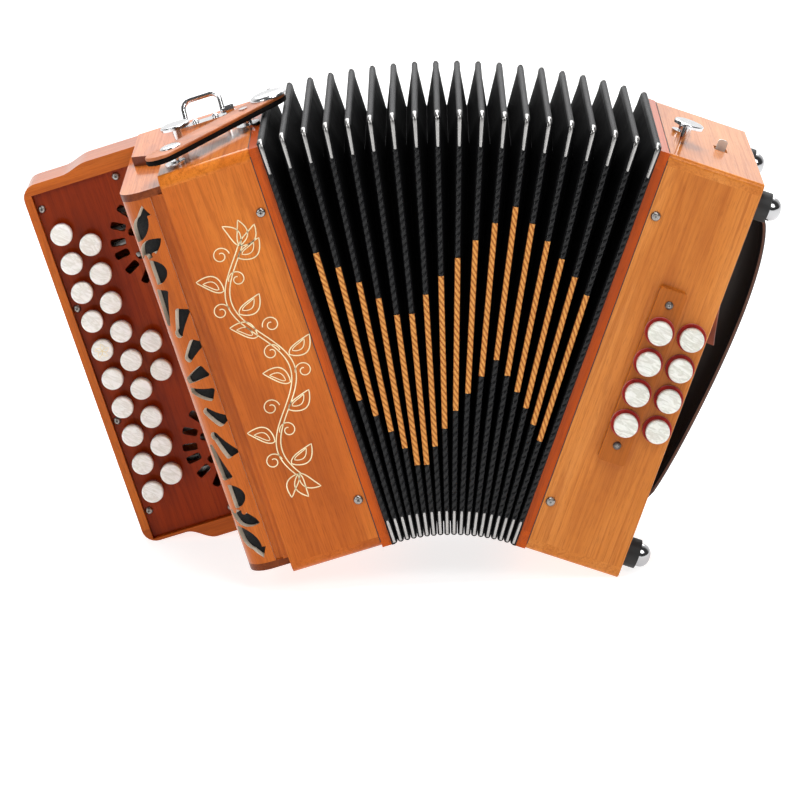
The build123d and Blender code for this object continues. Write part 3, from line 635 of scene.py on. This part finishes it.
# the fretwork's cut edges take the pale painted highlight
paint("treble_grille", "treble_z", ("edge", grille_cut), ("treble_y", on_cover_cap),
      ("cap_brown", lambda u, v, w, n: on_cover_cap(u, v, w, n) & (np.abs(n[:, 2]) < 0.5)))
paint("keyboard_plate", "plate", ("cap_brown", lambda u, v, w, n: np.abs(n[:, 1]) < 0.5))
paint("bass_button_rail", "rail")
paint("thirds_stop", "stop")
paint("bass_feet", "rubber", ("dome", lambda u, v, w, n: u > BASS_WIDTH + 9.51))
paint("treble_axle_and_screws", "steel")
paint("bass_screws", "chrome", ("dark_steel", rail_screw), ("steel", bass_pin))
for side in ("treble", "bass"):
    paint(f"{side}_reed_blocks", "reed_wood",
          ("reed_metal", lambda u, v, w, n: np.abs(n[:, 1]) > 0.9))
paint("bass_pallets", "spruce", ("reed_metal", lambda u, v, w, n: u > 33.01))

for node in NODES:
    if node.startswith("treble_key_"):
        paint(node, "spruce", ("steel", lambda u, v, w, n: (u > AXLE_U - 3.1) & (v > 105)),
              ("steel", lambda u, v, w, n: (u > AXLE_U + 8)),
              ("pearl", lambda u, v, w, n: (u > AXLE_U + 10) & (v < TREBLE_CAP_V + TREBLE_CAP_T + NEAR)),
              ("pallet_felt", lambda u, v, w, n: u < 71.41))
    if node.startswith("bass_button_i") or node.startswith("bass_button_o"):
        low = BASS_ROWS["inner" if "inner" in node else "outer"][1] + 4.01
        paint(node, "bass_pearl", ("steel", lambda u, v, w, n: v > low))
paint("strap_brackets", "chrome")


# ---- bellows ----
RIM_DEEP, RIM_FOOT_ROUND, TAPE_DEEP = 4.2, 2.0, 2.6


def rim_loop(inset, x):
    """Closed loop round the bellows, `inset` in from the outside of a rim.

    It starts at the bottom front corner and goes up.
    """
    y, top, bottom = RIM_FRONT - inset, RIM_TOP - inset, RIM_BOTTOM + inset
    r = max(RIM_ROUND - inset, 0.02)
    low = max(RIM_FOOT_ROUND - inset, 0.02)
    corners = [(-y + low, bottom + low, low, 270, 180), (-y + r, top - r, r, 180, 90),
               (y - r, top - r, r, 90, 0), (y - low, bottom + low, low, 0, -90)]
    loop = []
    for cy, cz, radius, a0, a1 in corners:
        for i in range(7):
            a = math.radians(a0 + (a1 - a0) * i / 6)
            loop.append((x, cy + radius * math.cos(a), cz + radius * math.sin(a)))
    return loop


def rim_frames():
    """Frame and owners of each of the 19 rims: odd ones belong to a body, even ones lie between two."""
    odd = fold_centres()
    out = []
    for i, (x, z, tilt, body) in enumerate(odd):
        out.append((local_frame(x, z, tilt), (body,), (x, z, tilt)))
        if i < len(odd) - 1:
            h, t = HINGE_POS[i], (tilt + odd[i + 1][2]) / 2
            out.append((local_frame(h.x, h.z, t), (body, odd[i + 1][3]), (h.x, h.z, t)))
    return out


RIMS = rim_frames()


def follow(obj, owners):
    """Rides on one body; one between two is baked where it stands."""
    if len(owners) == 1:
        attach(obj, owners[0])
    else:
        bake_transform(obj)


BEAD = [(-1.0, 6.0), (-1.0, 1.3), (-0.62, 0.35), (0.0, 0.0), (0.62, 0.35), (1.0, 1.3), (1.0, 6.0)]


def bead(k, place, owners):
    """Rounded edge of one fold, with ribbed tape along its top."""
    half = RIM_WIDE / 2
    rows = [rim_loop(d, x * half) for x, d in BEAD]
    shape = Shape()
    shape.grid([list(c) for c in zip(*rows)], close_rows=True)
    obj = shape.build(f"bellows_rim_{k:02d}", place, [M["bellows_bead"], M["tape_ribs"]], "bellows_cloth")
    for p in obj.data.polygons:
        if (place.inverted() @ p.center).z > RIM_TOP - TAPE_DEEP:
            p.material_index = 1
    follow(obj, owners)
    return obj


def plait(start, end, x_half, wrap, pitch, lift, relief, slope):
    """Rows of points of a plaited tape on the front of a rim, and how high each stands (0 to 1).

    The tape lies `lift` proud, stands up to `relief` more at its ridges, which come every `pitch`
    and lean by `slope`, and its sides reach `wrap` back round the rim.
    """
    steps = max(2, int((end - start) / 0.55))
    across = [-1.0, -1.0, -0.8, -0.5, -0.2, 0.2, 0.5, 0.8, 1.0, 1.0]
    sink = [wrap, 0.7, 0.1, 0.0, -0.02, -0.02, 0.0, 0.1, 0.7, wrap]
    rows, heights = [], []
    for i in range(steps + 1):
        z = start + (end - start) * i / steps
        row = []
        for a, d in zip(across, sink):
            phase = (z + slope * a * x_half) / pitch
            # the sides wrapping back round the rim stand low, so braid() paints them in the dark groove
            # colour as painted shade
            h = abs(math.sin(math.pi * phase)) if d < 0.5 else 0.35
            if d > 1.0:
                h = 0.0
            row.append((a * x_half, -RIM_FRONT - lift + d - relief * h * (1.0 - 0.35 * a * a), z))
            heights.append(h)
        rows.append(row)
    return rows, heights


AMBER_TAPE = dict(x_half=1.85, wrap=3.0, pitch=4.6, lift=0.25, relief=0.62, slope=1.5)
BLACK_TAPE = dict(x_half=1.75, wrap=1.6, pitch=5.2, lift=0.12, relief=0.75, slope=-1.1)


def braid_piece(name, place, owners, spans, look, material, slot):
    """Tape over (start, end) heights of a rim; the look is what plait() takes."""
    shape, heights = Shape(), []
    for start, end in spans:
        rows, h = plait(start, end, **look)
        shape.grid(rows, flip=True)
        heights += h
    obj = shape.build(name, place, M[material], slot)
    attribute = obj.data.attributes.new("relief", "FLOAT", "POINT")
    attribute.data.foreach_set("value", heights)
    follow(obj, owners)


CORNER_DOWN, CORNER_LAP, CORNER_HALF, CORNER_TAPER = 17.5, 1.6, 1.3, 0.35
FOOT_TALL, FOOT_HALF = 16.0, 1.0


def corner_path(side):
    """Centre line of a metal corner from the top, round the bend and down.

    Each point is (y, z, normal y, normal z, half width).
    """
    y, top, r = RIM_FRONT, RIM_TOP, RIM_ROUND
    points = [(y - r - CORNER_LAP, top, 0.0, 1.0, 1.15)]
    for i in range(7):
        a = math.radians(90 - 90 * i / 6)
        ny, nz = math.cos(a), math.sin(a)
        points.append((y - r + r * ny, top - r + r * nz, ny, nz, CORNER_HALF))
    for i in range(1, 9):
        t = i / 8
        points.append((y, top - r - CORNER_DOWN * t, 1.0, 0.0, CORNER_HALF - CORNER_TAPER * t ** 1.3))
    return [(side * p, z, side * ny, nz, hw) for p, z, ny, nz, hw in points]


def foot_path(side):
    """Centre line of the straight metal strip at the foot of a rim, like corner_path()."""
    return [(side * RIM_FRONT, RIM_BOTTOM + 1.6 + FOOT_TALL * t, side, 0.0, FOOT_HALF - 2.5 * max(0, t - 0.9))
            for t in [0, 0.15, 0.3, 0.5, 0.7, 0.85, 0.93, 1.0]]


def metal_strip(shape, path, wrap=1.6, thick=0.32):
    """Thin pressed strip that follows a path and laps the cheeks of the fold."""
    profile = [(-1.0, -wrap), (-1.0, 0.0), (-0.72, thick), (0.0, thick * 1.35), (0.72, thick), (1.0, 0.0),
               (1.0, -wrap)]
    rows = [[(a * hw, y + ny * h, z + nz * h) for a, h in profile] for y, z, ny, nz, hw in path]
    shape.bar(rows)


def corners(k, place, owners):
    """The four pressed metal strips of one rim: two corners and two feet."""
    shape = Shape()
    for side in (-1, 1):
        metal_strip(shape, corner_path(side))
        metal_strip(shape, foot_path(side))
    obj = shape.build(f"bellows_corners_{k:02d}", place, M["satin"], "chrome")
    weld(obj)
    sharp_by_angle(obj, 50)
    follow(obj, owners)


def amber_middle(k):
    """Height of the middle of the amber braid on rim k: it drifts down, up and down again."""
    wave = [(2, 155.0), (6.5, 97.0), (13, 176.0), (18, 127.0)]
    for (k0, w0), (k1, w1) in zip(wave[:-1], wave[1:]):
        if k <= k1:
            return w0 + (w1 - w0) * (k - k0) / (k1 - k0)
    return wave[-1][1]


def wall_rows(i):
    """Rows of the folded wall between odd rims i and i + 1, over the even rim in its middle."""
    (pa, _, la), (pe, _, le), (pb, _, lb) = RIMS[2 * i], RIMS[2 * i + 1], RIMS[2 * i + 2]

    def between(a, b):
        x, z, t = [(p + q) / 2 for p, q in zip(a, b)]
        return local_frame(x, z, t)

    half, crease = RIM_WIDE / 2 - 0.1, 0.15
    first, second = between(la, le), between(le, lb)
    return [(pa, half, RIM_DEEP), (first, -crease, FOLD_DEPTH), (first, crease, FOLD_DEPTH),
            (pe, -half, RIM_DEEP), (pe, half, RIM_DEEP),
            (second, -crease, FOLD_DEPTH), (second, crease, FOLD_DEPTH), (pb, -half, RIM_DEEP)]


def wall_loop(place, x, inset):
    """Loop round the bellows at that inset, in row coordinates, with enough points up its sides."""
    y, top, bottom = RIM_FRONT - inset, RIM_TOP - inset, RIM_BOTTOM + min(inset, FOLD_DEPTH_BELOW)
    up = [bottom + (top - bottom) * j / 12 for j in range(13)]
    over = [-y + 2 * y * j / 8 for j in range(1, 8)]
    loop = [(-y, z) for z in up] + [(v, top) for v in over] + [(y, z) for z in up[::-1]]
    loop += [(v, bottom) for v in over[::-1]]
    return [place @ Vector((x, p, z)) for p, z in loop]


def wall(i):
    """Two V folds of bellows cloth between two neighbouring bodies."""
    rows = [wall_loop(*station) for station in wall_rows(i)]
    fine = [rows[0]]
    for a, b in zip(rows[:-1], rows[1:]):
        parts = 3 if (a[0] - b[0]).length > 0.006 else 1
        for s in range(1, parts + 1):
            fine.append([p.lerp(q, s / parts) for p, q in zip(a, b)])
    shape = Shape()
    shape.grid(fine, close_cols=True)
    obj = shape.build(f"bellows_wall_{i + 1}", Matrix.Identity(4), M["bellows_wall"], "bellows_cloth")
    weld(obj)
    sharp_by_angle(obj, 60)
    a, b = RIMS[2 * i], RIMS[2 * i + 2]
    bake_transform(obj)


def end_wall(name, rim, side_frame, body, sign):
    """Cloth from the outermost rim down to the wooden frame."""
    rows = [wall_loop(rim[0], sign * (RIM_WIDE / 2 - 0.1), RIM_DEEP),
            wall_loop(side_frame, -sign * 0.02, 14.0)]
    shape = Shape()
    shape.grid(rows, close_cols=True)
    obj = shape.build(name, Matrix.Identity(4), M["bellows_wall"], "bellows_cloth")
    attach(obj, body)


for k, (place, owners, _) in enumerate(RIMS, start=1):
    rim = bead(k, place, owners)
    if k % 2 and 1 < k < 19:
        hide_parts(f"bellows_fold_pair_{(k - 1) // 2}")
    corners(k, place, owners)
    low, high = FOOT_TALL + 2.0, RIM_TOP - RIM_ROUND - CORNER_DOWN
    spans = [(low, high)]
    if 1 < k < 19:
        middle = amber_middle(k)
        a0, a1 = middle - AMBER_LONG / 2, middle + AMBER_LONG / 2
        spans = [(low, a0), (a1, high)]
        braid_piece(f"amber_braid_{k:02d}", place, owners, [(a0, a1)], AMBER_TAPE,
                    "amber_braid", "amber_braid")
    braid_piece(f"bellows_braid_{k:02d}", place, owners, spans, BLACK_TAPE, "black_braid", "bellows_cloth")
for i in range(FOLD_BODIES + 1):
    wall(i)
end_wall("bellows_wall_treble_end", RIMS[0], TREBLE, "treble_side", -1)
end_wall("bellows_wall_bass_end", RIMS[-1], BASS, "bass_side", 1)


# ---- small drawing helpers for trim ----
SIDES = {"treble": (TREBLE, -1, "treble_side"), "bass": (BASS, 1, "bass_side")}


def at(side, u, v, w):
    """Point of a case given in its own u, v, w, in local millimetres."""
    return (SIDES[side][1] * u, v - HALF, w)


def lathe(shape, side, centre, profile, steps=32):
    """Turned part about an axis that runs to the back; the profile is (radius, v) pairs."""
    u, v, w = centre
    rows = []
    for r, dv in profile:
        rows.append([at(side, u + r * math.cos(a), v + dv, w + r * math.sin(a))
                     for a in [2 * math.pi * i / steps for i in range(steps)]])
    shape.grid(rows, close_cols=True)


def slab(shape, side, u, v, w):
    """Square block over (low, high) pairs."""
    p = [at(side, a, b, c) for a in u for b in v for c in w]
    for q in ((0, 1, 3, 2), (4, 6, 7, 5), (0, 4, 5, 1), (2, 3, 7, 6), (0, 2, 6, 4), (1, 5, 7, 3)):
        shape.cap([p[i] for i in q])


def finish(shape, name, side, materials, slot, body=None, angle=40):
    """Builds a gathered shape on its case, with clean normals, and lets it ride."""
    place, _, own_body = SIDES[side]
    obj = shape.build(name, place, [M[m] for m in materials], slot)
    weld(obj)
    sharp_by_angle(obj, angle)
    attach(obj, body or own_body)
    return obj


def round_bar(half_long, half_wide, steps=10):
    """Outline of a round-ended bar about its middle."""
    r, out = half_wide, []
    for cx, start in ((half_long - r, -90), (-(half_long - r), 90)):
        out += [(cx + r * math.cos(a), r * math.sin(a))
                for a in [math.radians(start + 180 * i / steps) for i in range(steps + 1)]]
    return out


def bass_felts():
    """Bright red felt rings under the bass caps."""
    for row, (u, _, w, seat) in BASS_ROWS.items():
        for i in range(4):
            shape = Shape()
            centre = (u, seat, w - BASS_PITCH * i)
            lathe(shape, "bass", centre, [(2.2, -0.05), (2.2, -1.5), (8.4, -2.0), (9.4, -2.0), (9.8, -1.6),
                                          (9.8, -0.05)])
            felt_ring = finish(shape, f"bass_felt_{row}_{i + 1}", "bass", ["red_felt"], "felt_red")
            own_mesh(felt_ring)


def treble_felts():
    """Thin dark red washers round the treble stems."""
    shape = Shape()
    for u, w, count in TREBLE_ROWS.values():
        for i in range(count):
            centre = (u, PLATE_V, w - KEY_PITCH * i)
            lathe(shape, "treble", centre, [(4.4, -0.05), (4.4, -1.2), (6.2, -1.2), (6.6, -0.9),
                                            (6.6, -0.05)], 24)
    finish(shape, "treble_felts", "treble", ["dark_felt"], "felt_red")


def gasket(side):
    """Thin black line between the bellows frame and the case."""
    shape, proud = Shape(), 0.22
    lo, hi = FRAME_T - 0.35, FRAME_T + 0.2
    slab(shape, side, (lo, hi), (-proud, 2), (4, HEIGHT - 5))
    slab(shape, side, (lo, hi), (DEPTH - 2, DEPTH + proud), (4, HEIGHT - 5))
    slab(shape, side, (lo, hi), (5, DEPTH - 5), (HEIGHT - 2, HEIGHT + proud))
    finish(shape, f"{side}_gasket", side, ["gasket"], "bellows_cloth")


def cross_shade(shape, side, u, v, w, arm, turn):
    """Painted shade of the cross cut of a screw head, as two dark bars just proud of its flat."""
    for extra in (0, 90):
        a = math.radians(turn + extra)
        ca, sa = math.cos(a), math.sin(a)
        ring = [(arm, 0.42), (arm, -0.42), (-arm, -0.42), (-arm, 0.42)]
        shape.cap([at(side, u + x * ca - y * sa, v, w + x * sa + y * ca) for x, y in ring])


def screw_crosses():
    """Painted shade of the cross recesses of every visible screw."""
    screw_top, pin_top = [DOME_SHARE * head + CROSS_PROUD for head in (SCREW_HEAD, PIN_HEAD)]
    rail_u, _, _, rail_v = BASS_ROWS["inner"]
    shape = Shape()
    for i, (u, w) in enumerate(PLATE_SCREWS):
        cross_shade(shape, "treble", u, PLATE_V - screw_top, w, SCREW_CROSS, 17 + 31 * i)
    for i, w in enumerate(PIN_W):
        cross_shade(shape, "treble", PIN_U, -pin_top, w, PIN_CROSS, 8 + 40 * i)
    finish(shape, "treble_screw_recess_shade", "treble", ["dark_steel"], "steel")
    shape = Shape()
    for i, w in enumerate(PIN_W):
        cross_shade(shape, "bass", PIN_U, -pin_top, w, PIN_CROSS, 24 + 40 * i)
    for i, w in enumerate(RAIL_SCREWS):
        cross_shade(shape, "bass", rail_u, rail_v - screw_top, w, SCREW_CROSS, 12 + 50 * i)
    finish(shape, "bass_screw_recess_shade", "bass", ["steel"], "steel")


# ---- grille cloth ----
def cover_line(inset, steps=12):
    """Inside line of the pallet cover from its flat front round the bend and along its side."""
    cu, cv, r = COVER_U - COVER_R, COVER_R + 5.0, COVER_R - inset
    line = [(TREBLE_WIDTH + 9.6, cv - r)]
    line += [(cu + r * math.cos(a), cv - r * math.sin(a))
             for a in [math.radians(90 - 90 * i / steps) for i in range(steps + 1)]]
    return line + [(COVER_U - inset, KEYBOARD_FRONT - 0.6)]


def grille_cloth():
    """Thin black cloth stretched behind the fretwork."""
    low, high = COVER_LOW + COVER_CAP + 0.3, COVER_HIGH - COVER_CAP - 0.3
    line = cover_line(3.35)
    rows = [[at("treble", u, v, low + (high - low) * j / 24) for j in range(25)] for u, v in line]
    shape = Shape()
    shape.grid(rows)
    obj = finish(shape, "grille_cloth", "treble", ["grille_cloth"], "grille_cloth")


# ---- gold scroll ----
def ribbon(shape, line, wide, v, closed=False):
    """Flat inlaid line of constant width on the front panel through (u, w) points."""
    left, right, count = [], [], len(line)
    for i, (u, w) in enumerate(line):
        a = line[(i - 1) % count] if closed or i else line[0]
        b = line[(i + 1) % count] if closed or i < count - 1 else line[-1]
        du, dw = b[0] - a[0], b[1] - a[1]
        k = wide / 2 / max(math.hypot(du, dw), 1e-6)
        left.append(at("treble", u - dw * k, v, w + du * k))
        right.append(at("treble", u + dw * k, v, w - du * k))
    shape.grid([left, right], close_cols=closed)


def leaf_line(u, w, angle, long_, wide, steps=14):
    """Closed outline of a pointed, slightly bent leaf growing from u, w."""
    up, down = [], []
    for i in range(steps + 1):
        t = i / steps
        x, bend = long_ * t, 0.16 * long_ * math.sin(math.pi * t * 0.9)
        half = wide / 2 * math.sin(math.pi * t ** 0.8) ** 0.85
        up.append((x, bend + half))
        down.append((x, bend - half))
    ring = up + down[-2:0:-1]
    ca, sa = math.cos(angle), math.sin(angle)
    return [(u + x * ca - y * sa, w + x * sa + y * ca) for x, y in ring]


def spiral(u, w, r0, r1, start, turns, steps=40):
    """Curl that winds in from radius r0 to r1 about u, w."""
    return [(u + (r0 + (r1 - r0) * t) * math.cos(start + turns * 2 * math.pi * t),
             w + (r0 + (r1 - r0) * t) * math.sin(start + turns * 2 * math.pi * t))
            for t in [i / steps for i in range(steps + 1)]]


def gold_scroll():
    """Inlaid vine: a waving double stem with outlined leaves and curls."""
    shape, v, thin = Shape(), -0.14, 0.75

    def stem(t):
        return 38 + 13 * math.sin(2 * math.pi * 1.5 * t + 0.5), 66 + 160 * t

    for gap in (-1.6, 1.6):
        ribbon(shape, [(stem(i / 90)[0] + gap, stem(i / 90)[1]) for i in range(91)], thin, v)
    for k in range(9):
        t = 0.05 + 0.90 * k / 8
        u, w = stem(t)
        way = 1 if k % 2 else -1
        angle = math.radians(90 - way * 58)
        ribbon(shape, leaf_line(u + way * 2.4, w, angle, 19, 9.5), thin, v, closed=True)
        ribbon(shape, leaf_line(u + way * 5.2, w + 2.0, angle, 11, 4.2), thin * 0.8, v, closed=True)
        curl_u, curl_w = u - way * 8.6, w + 5.0
        curl = spiral(curl_u, curl_w, 6.0, 1.6, math.radians(0 if way > 0 else 180), 1.3 * way)
        ribbon(shape, curl, thin * 0.9, v)
    for end, angle in ((stem(1.0), 100), (stem(0.0), 262)):
        for spread in (-38, 0, 38):
            ribbon(shape, leaf_line(*end, math.radians(angle + spread), 17, 7), thin, v, closed=True)
    finish(shape, "gold_scroll", "treble", ["gold"], "gold_line", angle=90)


def cap_ornament():
    """Small gilt rosette on one treble button."""
    u, w, _ = TREBLE_ROWS["outer"]
    w -= 4 * KEY_PITCH
    shape, v = Shape(), TREBLE_CAP_V - 0.06
    for k in range(5):
        ribbon(shape, leaf_line(u, w, math.radians(90 + 72 * k), 5.2, 2.6, 8), 0.4, v, closed=True)
    finish(shape, "button_ornament", "treble", ["gold"], "gold_line", "treble_key_outer_05_body", 90)


# ---- leather ----
def strap_frame():
    """Frame of the bellows strap: x from the post towards the snap, z up."""
    (u0, v0), (u1, v1) = STRAP_POST, STRAP_SNAP
    angle = math.atan2(v1 - v0, -(u1 - u0))
    return TREBLE @ Matrix.Translation(at("treble", u0, v0, STRAP_W)) @ Matrix.Rotation(angle, 4, "Z")


def bellows_strap():
    """Tan leather strap with a dark fuzzy lining and two chrome caps."""
    reach = math.dist(STRAP_POST, STRAP_SNAP)
    low, high = -STRAP_PAST_POST - 10.0, reach + STRAP_PAST_SNAP
    mid, half = (low + high) / 2, (high - low) / 2

    def loop(inset, z):
        return [(mid + x, y, z) for x, y in round_bar(half - inset, STRAP_WIDTH / 2 - inset, 14)]

    place = strap_frame()
    top = Shape()
    levels = [(0.2, 1.7), (0.0, 2.2), (0.0, 3.3), (0.45, 3.85), (1.2, 4.0)]
    top.grid([loop(*level) for level in levels], close_cols=True)
    top.cap(loop(1.2, 4.0))
    leather_top = top.build("bellows_strap_leather", place, M["tan"], "tan_leather")
    lining = Shape()
    levels = [(1.0, -1.9), (0.0, -1.4), (-0.35, 0.2), (0.1, 1.75)]
    lining.cap(loop(*levels[0]), flip=True)
    lining.grid([loop(*level) for level in levels], close_cols=True)
    under = lining.build("bellows_strap_lining", place, M["suede"], "strap_suede")
    caps = Shape()
    for x, r, tall in ((-STRAP_DISC, 12.5, 3.4), (reach, 7.2, 1.5)):
        rows = [[(x + q * r * math.cos(a), q * r * math.sin(a), 3.95 + tall * h)
                 for a in [2 * math.pi * i / 40 for i in range(40)]]
                for q, h in ((1.0, 0.0), (1.0, 0.25), (0.96, 0.5), (0.82, 0.78), (0.55, 0.94), (0.25, 1.0))]
        caps.grid(rows, close_cols=True)
        caps.cap(rows[-1])
    chrome = caps.build("bellows_strap_caps", place, M["chrome"], "chrome")
    for obj, angle in ((leather_top, 30), (under, 40), (chrome, 50)):
        weld(obj)
        sharp_by_angle(obj, angle)
        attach(obj, "bellows_strap_body")
    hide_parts("bellows_strap")
    stitches = Shape()
    count = 30
    for side in (-1, 1):
        for i in range(count):
            x = low + 12 + (high - low - 24) * i / (count - 1)
            y = side * 8.6
            ring = [(x - 1.1, y - 0.22), (x + 1.1, y - 0.22), (x + 1.1, y + 0.22), (x - 1.1, y + 0.22)]
            stitches.cap([(*point, 4.04) for point in ring])
    thread = stitches.build("bellows_strap_stitches", place, M["thread"], "tan_leather")
    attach(thread, "bellows_strap_body")


def hand_lift(w):
    """How far the hand strap stands off the case at height w."""
    s = (w - HAND_LOW) / (HAND_HIGH - HAND_LOW)
    return HAND_BOW * math.sin(math.pi * s ** 1.94) ** 0.3 if 0 < s < 1 else 0.0


def hand_line():
    """Points (u, w) of the inside of the hand strap from its low tab to its high tab."""
    wall, steps = BASS_WIDTH + 0.4, 44
    line = [(wall, HAND_LOW - 12), (wall, HAND_LOW - 5)]
    line += [(wall + hand_lift(w), w) for w in
             [HAND_LOW + (HAND_HIGH - HAND_LOW) * (i / steps) ** 0.8 for i in range(steps + 1)]]
    return line + [(wall, HAND_HIGH + 6), (wall, HAND_HIGH + 14)]


def band(name, line, near, far, layers, material, slot):
    """Leather band along a (u, w) line; layers are (height off the line, inset from its sides)."""
    mid = (near + far) / 2
    half = (far - near) / 2
    rows = []
    for i, (u, w) in enumerate(line):
        a, b = line[max(i - 1, 0)], line[min(i + 1, len(line) - 1)]
        du, dw = b[0] - a[0], b[1] - a[1]
        k = 1 / max(math.hypot(du, dw), 1e-6)
        nu, nw = dw * k, -du * k
        ring = [(-1, h, i_) for h, i_ in layers] + [(1, h, i_) for h, i_ in layers[::-1]]
        rows.append([at("bass", u + nu * h, mid + s * (half - inset), w + nw * h) for s, h, inset in ring])
    shape = Shape()
    shape.bar(rows, close_cols=True)
    return finish(shape, name, "bass", [material], slot, angle=50)


def hand_strap():
    """Hand strap: suede lining, lighter cut edge, dark brown face, stitching and a tongue."""
    line = hand_line()
    near, far = HALF - HAND_HALF, HALF + HAND_HALF
    # the lining's near-black suede includes painted shade for the strap's shadowed inside
    band("hand_strap_lining", line, near, far, [(0.0, 0.8), (0.35, 0.1), (2.0, 0.1), (2.3, 0.5)],
         "suede", "strap_suede")
    band("hand_strap_edge", line, near, far, [(2.2, 0.4), (2.4, 0.0), (3.5, 0.0), (3.7, 0.3)],
         "brown_edge", "brown_leather")
    face = band("hand_strap_face", line, near, far, [(3.6, 0.5), (3.8, 0.25), (4.2, 0.4), (4.45, 1.2)],
                "brown_leather", "brown_leather")
    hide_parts("hand_strap")
    stitches = Shape()
    for v in (near + 4.0, far - 4.0):
        for a, b in zip(line[2:-3], line[3:-2]):
            du, dw = b[0] - a[0], b[1] - a[1]
            long_ = max(math.hypot(du, dw), 1e-6)
            nu, nw = dw / long_ * 4.5, -du / long_ * 4.5
            (u0, w0), (u1, w1) = [(a[0] + du * t + nu, a[1] + dw * t + nw) for t in (0.2, 0.75)]
            stitches.cap([at("bass", u0, v - 0.3, w0), at("bass", u1, v - 0.3, w1),
                          at("bass", u1, v + 0.3, w1), at("bass", u0, v + 0.3, w0)])
    finish(stitches, "hand_strap_stitches", "bass", ["thread"], "brown_leather")
    tongue = Shape()
    rows = []
    for i in range(13):
        t = i / 12
        w, out = 216 - 48 * t, BASS_WIDTH + 1.2 + 7.5 * t ** 1.5
        ring = [(BASS_WIDTH + 0.05, 21.0), (out - 0.5, 20.0), (out, 20.6), (out, 43.4), (out - 0.5, 44.0),
                (BASS_WIDTH + 0.05, 43.0)]
        rows.append([at("bass", u, v, w) for u, v in ring])
    tongue.bar(rows, close_cols=True)
    finish(tongue, "strap_tongue", "bass", ["tongue"], "tan_leather", angle=50)


bass_felts()
treble_felts()
gasket("treble")
gasket("bass")
screw_crosses()
grille_cloth()
gold_scroll()
cap_ornament()
bellows_strap()
hand_strap()


# ---- studio ----
def camera():
    """Viewpoint above and in front, aimed a little down; set by where the treble case stands."""
    data = bpy.data.cameras.new("camera")
    data.lens, data.sensor_width, data.clip_end = 175.244, 36.0, 20.0
    obj = new_object("camera", data)
    turn = (Matrix.Rotation(0.0035954, 4, "Z") @ Matrix.Rotation(0.3097433, 4, "Y")
            @ Matrix.Rotation(1.2834873, 4, "X"))
    seen = TREBLE @ Matrix.Translation((266.281, -2544.654, 787.555)) @ turn
    place, rotation, _ = seen.decompose()
    obj.matrix_world = Matrix.LocRotScale(place, rotation, None)
    bpy.context.scene.camera = obj


def area_light(name, location, target, size, energy):
    """White rectangular lamp of that size in metres and power in watts, aimed at a point."""
    data = bpy.data.lights.new(name, "AREA")
    data.shape, data.size, data.size_y = "RECTANGLE", size[0], size[1]
    data.energy = energy
    obj = new_object(name, data)
    obj.location = location
    obj.rotation_euler = (Vector(target) - Vector(location)).to_track_quat("-Z", "Y").to_euler()
    obj.visible_camera = False


def world_light():
    """White to the eye all round; for light and reflections, bright behind and above, dim in front."""
    world = bpy.data.worlds.new("studio")
    bpy.context.scene.world = world
    world.use_nodes = True
    tree = world.node_tree
    tree.nodes.clear()
    new, link = tree.nodes.new, tree.links.new
    coords, split = new("ShaderNodeTexCoord"), new("ShaderNodeSeparateXYZ")
    ramp, path = new("ShaderNodeMapRange"), new("ShaderNodeLightPath")
    ramp.interpolation_type = "SMOOTHSTEP"
    ramp.inputs["From Min"].default_value, ramp.inputs["From Max"].default_value = 0.05, 0.75
    ramp.inputs["To Min"].default_value, ramp.inputs["To Max"].default_value = 0.07, 1.0
    biggest = new("ShaderNodeMath")
    biggest.operation = "MAXIMUM"
    shade, out = new("ShaderNodeBackground"), new("ShaderNodeOutputWorld")
    shade.inputs["Color"].default_value = (1.0, 1.0, 1.0, 1)
    link(coords.outputs["Generated"], split.inputs["Vector"])
    link(split.outputs["Y"], ramp.inputs["Value"])
    link(ramp.outputs["Result"], biggest.inputs[0])
    link(path.outputs["Is Camera Ray"], biggest.inputs[1])
    link(biggest.outputs[0], shade.inputs["Strength"])
    link(shade.outputs[0], out.inputs["Surface"])


def floor():
    """White sheet under the instrument that glows a little, so that it reads as the backdrop."""
    mesh, half = bpy.data.meshes.new("floor"), 6.0
    mesh.from_pydata([(-half, -half, 0), (half, -half, 0), (half, half, 0), (-half, half, 0)], [],
                     [(0, 1, 2, 3)])
    obj = new_object("floor", mesh)
    n = Nodes("floor_paper")
    glow = n.even(3, 2.0, 0.5)
    n.shader.inputs["Emission Color"].default_value = (1, 1, 1, 1)
    n.shader.inputs["Emission Strength"].default_value = 0.80
    base = n.mix((0.50, 0.50, 0.50, 1), (0.52, 0.52, 0.52, 1), glow)
    mesh.materials.append(n.set(base=base, rough=0.9, spec=0.0))


camera()
world_light()
floor()
area_light("key", (1.3, -1.9, 2.0), (0, 0, 0.15), (1.2, 1.2), 24)
area_light("fill", (-1.9, -1.6, 1.3), (-0.05, 0, 0.15), (1.0, 1.0), 16)
area_light("top", (0.1, 0.0, 2.2), (0, 0, 0.15), (1.8, 0.9), 42)
area_light("backdrop", (0.0, 3.2, 2.6), (0, 1.9, 0), (4.0, 2.0), 90)
bpy.context.scene.view_settings.view_transform = "Standard"
